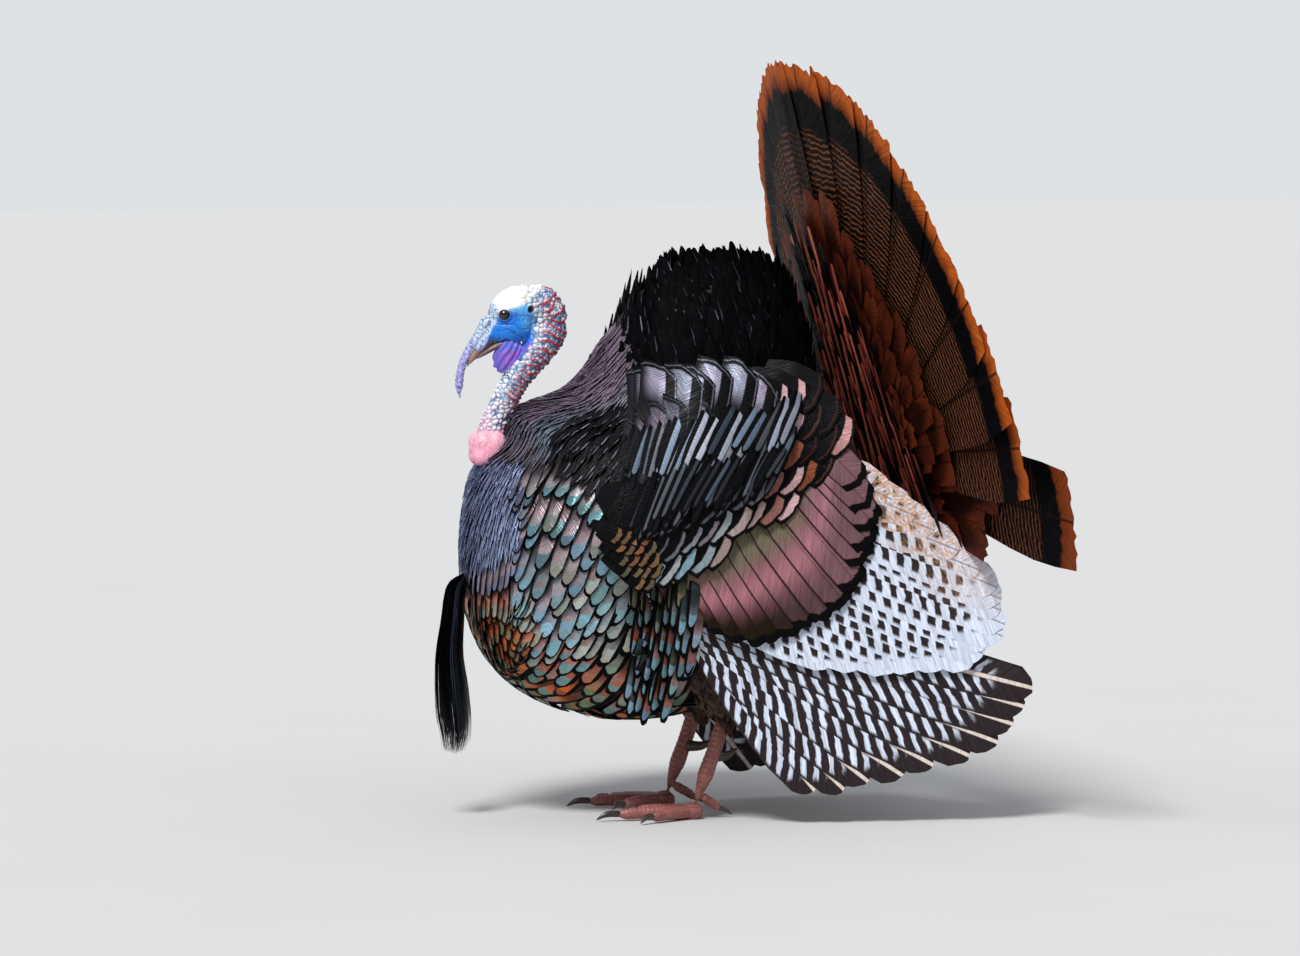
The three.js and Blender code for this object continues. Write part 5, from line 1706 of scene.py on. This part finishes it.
    def flank(self, coat, side):
        """Long feathers of the flank that lie over the front of the lowered wing."""
        look = Look(across=6, down=10, rise=(0, 0), roll=9, rounding=1.1, peak=-0.3, ragged=1.6,
            blade=(0.5, 0.9, 1, 1, 0.8))
        for row, z in enumerate((254, 236, 216, 194, 170, 146, 124, 106)):
            x = np.arange(-112, -52 - 0.4 * abs(z - 170), 7.6) + 3.8 * (row % 2) - 10 * smooth(z, 170, 98)
            coat.row(len(x))
            tip = np.stack([x + 3 * coat.draws(), z + 12 * (coat.draws() - 0.5)], -1)
            root = tip + [12 - 0.1 * (z - 100), 66]
            tint = painted(linear(104, 144, 150),
                (linear(120, 150, 180), coat.draws()),
                (linear(128, 116, 62), smooth(z + 30 * coat.draws(), 205, 240)))
            tone = painted(linear(70, 66, 50), (linear(160, 78, 38), (coat.draws() > 0.5) * smooth(z, 210, 150)))
            layer = 9 - 1.2 * row - 24 * smooth(-x, 70, 116)
            tint = coat.dyed(tint, 0.35, 0.6 * coat.draws())
            grow_on_wing(coat, side, look, root, tip, 12.5, layer, tint, coat.dyed(tone, 0.3, 0.05), -5.0)

    def small_coverts(self, coat, side):
        """Staggered feathers over the arm, bright next to the panel, and small scales on the bend."""
        beside = np.array([-COVERT_AHEAD[1], COVERT_AHEAD[0]])
        look = replace(COVERT, across=8, down=8, roll=2.2, camber=0.04, rounding=0.2, ragged=2, thick=0.4,
            blade=(0.4, 0.9, 1, 1))
        for aside, apart, width, length, near in ((36, 11.5, 44, 58, False), (12, 9, 17, 28, True)):
            i, j = (grid.ravel() for grid in np.meshgrid(np.arange(-16, 17), np.arange(-24, 25)))
            tip = np.array([-20.0, 320.0]) + np.outer(aside * (i + 0.37 * j), beside)
            tip = tip + np.outer(apart * j, COVERT_AHEAD) + (coat.random.random((len(i), 2)) - 0.5) * 0.3 * apart
            at_bend = np.linalg.norm((tip - BEND) * [1, 0.8], axis=1)
            tip = tip[inside(COVERT_AREA, *tip.T) & ((at_bend < 30) if near else (at_bend > 24))]
            tip = tip[np.argsort(tip @ COVERT_AHEAD)]
            coat.row(len(tip))
            reach = length - 20 * smooth(-tip[:, 0], 60, 120) * (not near)
            root = tip - COVERT_AHEAD * reach[:, None]
            level = 6 - 0.145 * (tip - [20, 298]) @ COVERT_AHEAD + (2 if near else 0)
            tint, bright = self.bend_colours(coat) if near else self.arm_colours(coat, tip)
            tint = coat.dyed(tint, 0.25, bright)
            tone = coat.dyed(linear(12, 11, 14), 0.3)
            grow_on_wing(coat, side, look, root, tip, width, level, tint, tone)

    def bend_colours(self, coat):
        """Colours of the small scales, and how broad their bright bar is."""
        tint = painted(linear(70, 78, 56), (linear(132, 80, 48), coat.draws()))
        return painted(tint, (linear(120, 100, 78), coat.draws() * 0.6)), 0.95

    def arm_colours(self, coat, tip):
        """Colours of the arm's coverts by where their tips lie, and how broad their bright bar is."""
        above = (tip - [20, 298]) @ PANEL_UP
        corner = smooth(tip[:, 0], 4, 30)
        edge = smooth(tip[:, 0] + 30 * coat.draws(), 58, 80)
        tint = painted(linear(126, 160, 176),
            (linear(190, 190, 186), coat.draws()),
            (linear(176, 140, 132), (coat.draws() > 0.75) * 0.7),
            (linear(128, 130, 144), smooth(above, 18, 38)))
        pink = painted(linear(196, 160, 164), (linear(150, 94, 84), coat.draws() ** 2))
        tint = painted(tint, (pink, corner), (linear(112, 60, 40), corner * edge * (coat.draws() > 0.5)))
        bright = np.interp(above, [2, 14, 26, 50], [1.0, 0.9, 0.45, 0.1]) * (0.6 + 0.4 * coat.draws())
        bright = np.maximum(bright, corner * (0.5 + 0.4 * coat.draws()))
        return tint, bright * (1 - edge * (coat.draws() > 0.4))


# ---------- Tail feathers ----------
class TURKEY_OT_tail(bpy.types.Operator):
    """Spreads the fan, its coverts before and behind, and the streaked feathers at its foot"""

    bl_idname = "turkey.tail"
    bl_label = "Tail feathers"

    def execute(self, context):
        self.colours = context.scene.turkey_feathers
        self.seed = context.scene.turkey_sizes.seed
        covert = feather_material("tail coverts", tail_covert_marks, metal=0.1, rough=0.5, gloss=0.02, lines=420.0)
        self.fan()
        self.upper_coverts(covert)
        self.streaks()
        self.under_coverts(covert)
        return {"FINISHED"}

    def fan(self):
        """The large tail feathers."""
        coat = Coat(self.seed + 50, TAIL_FEATHERS)
        step = 2 * TAIL_HALF_SPREAD / TAIL_FEATHERS
        angles = -TAIL_HALF_SPREAD + step * (np.arange(TAIL_FEATHERS) + 0.5)
        lengths = TAIL_LENGTH * (1 + 0.012 * (coat.draws() * 2 - 1))
        look = Look(across=16, down=56, blade=(0.06, 0.26, 0.46, 0.64, 0.8, 0.92, 1.0, 1.0, 0.95), rise=(0, 0),
            roll=0, camber=0.03, rounding=0.1, ragged=7, thick=0.5)
        low = smooth(np.abs(angles), 78, 98)
        tip = coat.dyed(painted(self.colours.chestnut, (linear(124, 58, 30), low)), 0.08, 0.9)
        inner_tip = coat.dyed(linear(104, 46, 20), 0.1, 0.4)
        grow_fan(coat, look, angles, 44, lengths, 106.0, 0, tip, inner_tip, strip=True)
        fan = feather_material("tail feathers", tail_marks, rough=0.55, gloss=0.02, lines=420.0, Shaft=0.02,
            Curve=0.02, Ripple=0.02)
        coat.piece("rectrices", fan, "tail_feathers", "tail")

    def upper_coverts(self, material):
        """Rows of rust coverts before the fan."""
        coat = Coat(self.seed + 51)
        rust = self.colours.rust
        look = Look(across=6, down=14, blade=(0.2, 0.6, 0.9, 1, 0.9), rise=(-2, 0), roll=0, camber=0.1,
            rounding=0.5, ragged=9)
        for count, spread, start, length, width, lift in UPPER_TIERS:
            coat.row(count)
            angles = np.linspace(-spread, spread, count) + 1.6 * (coat.draws() - 0.5)
            lengths, widths = coat.vary(length, 0.88, 0.2), coat.vary(width, 0.8, 0.4)
            tint = painted(rust, (linear(22, 9, 7), coat.draws()))
            tone = painted(linear(100, 44, 24), (rust, coat.draws()))
            levels = lift + 1.4 * coat.draws()
            tint, tone = coat.dyed(tint, 0.2), coat.dyed(tone, 0.15)
            grow_fan(coat, look, angles, start, lengths, widths, levels, tint, tone)
        coat.piece("tail_coverts", material, "tail_feathers")

    def streaks(self):
        """Short streaked feathers over the foot of the fan."""
        coat = Coat(self.seed + 52)
        random = coat.random
        look = Look(across=4, down=9, blade=(0.4, 0.9, 1, 0.95, 0.75), rise=(-2, 0), roll=10, rounding=0.8, ragged=5)
        lean = np.radians(3.0)
        for side in SIDES.values():
            ahead, across, forward = (a[0] for a in fan_frame(np.array([side * 0.01])))
            p, q = np.meshgrid(np.arange(-8, 300, 13.0), np.arange(-170, 250, 19.0))
            q = q + 9.5 * (np.round(p / 13) % 2)
            p, q = (a.ravel() + 5 * (random.random(a.size) - 0.5) for a in (p, q))
            keep = inside(STREAK_AREA, p, q + 34)
            p, q = p[keep], q[keep]
            coat.row(len(p))
            far = smooth(p, 20, 250)
            heading = np.radians(4 - 12 * smooth(p, 60, 200) + 5 * (coat.draws() - 0.5))
            lift = 30 - 12 * far + 2.5 * coat.draws()

            def place(distance, off, height, p=p, q=q, heading=heading, lift=lift):
                aside = p[:, None] + np.sin(heading)[:, None] * distance + np.cos(heading)[:, None] * off
                rise = q[:, None] + np.cos(heading)[:, None] * distance - np.sin(heading)[:, None] * off
                out = lift[:, None] - 9 + distance * np.sin(lean) + height
                return TAIL_BASE + aside[..., None] * across + rise[..., None] * ahead + out[..., None] * forward

            tint = painted(linear(126, 54, 40),
                (linear(176, 86, 76), coat.draws() * (side < 0)),
                (self.colours.rump, coat.draws() * smooth(p, 200, 60) * (side < 0)),
                (linear(22, 17, 18), coat.draws() < 0.2 + 0.6 * smooth(30 - p, 0, 36)))
            spots = np.stack([0.5 + side * p / 800, 0.3 + q / 800], -1)
            length, width = coat.vary(62), coat.vary(21)
            coat.grow(look, length, width, place, spots, coat.dyed(tint, 0.3), (0.01, 0.01, 0.01, 1), flip=side < 0)
        streaks = feather_material("streaked coverts", streak_marks, metal=0.1, rough=0.5, gloss=0.03)
        coat.piece("streaked_coverts", streaks, "tail_feathers")

    def under_coverts(self, material):
        """Rows of plainer coverts behind the fan."""
        coat = Coat(self.seed + 53)
        look = Look(across=6, down=12, blade=(0.3, 0.75, 1, 1, 0.85), rise=(2, 0), roll=0, camber=0.12, rounding=0.7,
            ragged=6)
        for count, spread, start, length, width, lift in UNDER_TIERS:
            coat.row(count)
            angles = np.linspace(-spread, spread, count)
            lengths = coat.vary(length, 0.9, 0.2)
            levels = lift - 1.2 * (np.arange(count) % 2)
            tint, tone = coat.dyed(linear(56, 38, 30), 0.3), coat.dyed(linear(118, 66, 40), 0.2)
            grow_fan(coat, look, angles, start, lengths, width, levels, tint, tone, facing=-1)
        coat.piece("undertail_coverts", material, "tail_feathers")


# ---------- Beard ----------
BEARD_LINE = [(-248, 0, 248), (-264, 0, 236), (-270, 0, 196), (-273, 0, 164), (-271, 0, 133), (-269, 0, 104),
    (-267, 0, 80), (-269, 0, 62)]
BEARD_SPREAD = (4, 10, 12, 14, 17, 18, 15, 10)
BEARD_LENGTH = 200.0


class TURKEY_OT_beard(bpy.types.Operator):
    """Hangs the beard's long bristles from the breast"""

    bl_idname = "turkey.beard"
    bl_label = "Beard"

    def execute(self, context):
        sizes = context.scene.turkey_sizes
        coat = Coat(sizes.seed + 70, sizes.bristles)
        turn = coat.draws() * 2 * np.pi
        ring = coat.draws() ** 0.5
        aside, depth = ring * np.cos(turn), ring * np.sin(turn)
        end = 1 - 0.3 * coat.draws() ** 2 - 0.05 * ring
        sway = (coat.draws() - 0.5) * 2

        def place(distance, off, height):
            share = np.clip(distance / BEARD_LENGTH, 0, 1)
            spread = along(BEARD_SPREAD, share)
            x = spread * aside[:, None] + sway[:, None] * 2 * share + off * 0.5
            y = 0.62 * spread * depth[:, None] + off * 0.8 + height
            return spline(BEARD_LINE, share) + np.stack([x, y, np.zeros_like(x)], -1)

        look = Look(across=2, down=18, blade=(1, 1, 1, 0.8, 0.2), rise=(0, 0), roll=0, camber=0.5, rounding=0.3,
            ragged=0.5, thick=0.8)
        spots = np.stack([0.5 + 0.3 * aside, 0.5 + 0.3 * depth], -1)
        # painted sheen: about a fifth of the bristles are grey-blue, standing for glints on the black beard
        grey = painted(linear(16, 17, 22), (linear(104, 116, 136), (coat.draws() > 0.8) * coat.draws()))
        tint, tone = coat.dyed(grey, 0.4), coat.dyed(linear(34, 36, 44), 0.4)
        coat.grow(look, BEARD_LENGTH * end, 2.0, place, spots, tint, tone)
        material = feather_material("beard bristles", down_marks, rough=0.34, gloss=0.35, depth=0.2)
        coat.piece("beard_bristles", material, "beard_bristles", "beard")
        return {"FINISHED"}


# ---------- Stage ----------
CAMERA_TARGET = (-0.068, 0.0, 0.337)
CAMERA_AZIMUTH = -13.0  # degrees, from the bird's left side
CAMERA_ELEVATION = 4.0
CAMERA_DISTANCE = 10.0
CAMERA_LENS = 276.9


class TURKEY_OT_stage(bpy.types.Operator):
    """Lays the pale floor and sets the camera and the soft lights"""

    bl_idname = "turkey.stage"
    bl_label = "Stage"

    def execute(self, context):
        scene = context.scene
        form = bmesh.new()
        bmesh.ops.create_grid(form, x_segments=2, y_segments=2, size=14)
        floor = link("floor", joined([form], "floor"), self.floor_material())

        target = Vector(CAMERA_TARGET)
        azimuth, elevation = np.radians(CAMERA_AZIMUTH), np.radians(CAMERA_ELEVATION)
        back = Vector((np.sin(azimuth) * np.cos(elevation), -np.cos(azimuth) * np.cos(elevation), np.sin(elevation)))
        lens = bpy.data.cameras.new("camera")
        lens.lens, lens.sensor_width = CAMERA_LENS, 36.0
        lens.clip_end = 60
        camera = bpy.data.objects.new("camera", lens)
        scene.collection.objects.link(camera)
        camera.location = target + back * CAMERA_DISTANCE
        camera.rotation_euler = back.to_track_quat("Z", "Y").to_euler()
        scene.camera = camera

        world = bpy.data.worlds.new("open sky")
        scene.world = world
        world.use_nodes = True
        world.node_tree.nodes.clear()
        wires = Wires(world.node_tree)
        up = wires.node("ShaderNodeTexCoord").outputs["Generated"]
        height = wires.node("ShaderNodeSeparateXYZ", {"Vector": up}).outputs["Z"]
        sky = wires.fade((0.1, 0.105, 0.1), (0.62, 0.64, 0.68), height, -0.1, 0.75)
        seen = wires.node("ShaderNodeLightPath").outputs["Is Camera Ray"]
        light = wires.node("ShaderNodeBackground", {"Color": wires.mix(seen, sky, (0.735, 0.755, 0.77))})
        leave = wires.node("ShaderNodeOutputWorld")
        wires.tree.links.new(light.outputs[0], leave.inputs["Surface"])

        data = bpy.data.lights.new("sun", "SUN")
        data.energy, data.angle = 2.9, np.radians(16)
        sun = bpy.data.objects.new("sun", data)
        scene.collection.objects.link(sun)
        sun.rotation_euler = Vector((-0.45, -0.75, 1.0)).to_track_quat("Z", "Y").to_euler()
        scene.view_settings.view_transform = "Standard"
        return {"FINISHED"}

    def floor_material(self):
        material, wires = new_material("pale floor")
        grain = wires.noise(wires.object_place(), 3.0, 4.0)
        colour = wires.mix(grain, (0.59, 0.59, 0.58), (0.62, 0.62, 0.61))
        surface(wires, colour, 0.9, Specular_IOR_Level=0.0)
        return material


class TURKEY_PT_panel(bpy.types.Panel):
    """Lists the pieces of the bird"""

    bl_idname = "TURKEY_PT_panel"
    bl_label = "Strutting turkey"
    bl_space_type = "VIEW_3D"
    bl_region_type = "UI"
    bl_category = "Turkey"

    def draw(self, context):
        for kind in OPERATORS:
            self.layout.operator(kind.bl_idname)
        for key in GROUPS:
            group = getattr(context.scene, key)
            for label in group.__annotations__:
                self.layout.prop(group, label)


OPERATORS = (TURKEY_OT_stage, TURKEY_OT_skin, TURKEY_OT_eyes, TURKEY_OT_horn, TURKEY_OT_body_coat, TURKEY_OT_wings,
    TURKEY_OT_tail, TURKEY_OT_beard)
GROUPS = {"turkey_sizes": TurkeySizes, "turkey_skin": TurkeySkinColours, "turkey_feathers": TurkeyFeatherColours}
CLASSES = (*GROUPS.values(), *OPERATORS, TURKEY_PT_panel)


def register():
    for kind in CLASSES:
        bpy.utils.register_class(kind)
    for key, kind in GROUPS.items():
        setattr(bpy.types.Scene, key, bpy.props.PointerProperty(type=kind))


def unregister():
    for key in GROUPS:
        delattr(bpy.types.Scene, key)
    for kind in reversed(CLASSES):
        bpy.utils.unregister_class(kind)


def main():
    register()
    bpy.ops.turkey.stage()
    bpy.ops.turkey.skin()
    bpy.ops.turkey.eyes()
    bpy.ops.turkey.horn()
    bpy.ops.turkey.body_coat()
    bpy.ops.turkey.wings()
    bpy.ops.turkey.tail()
    bpy.ops.turkey.beard()


if __name__ == "__main__":
    main()
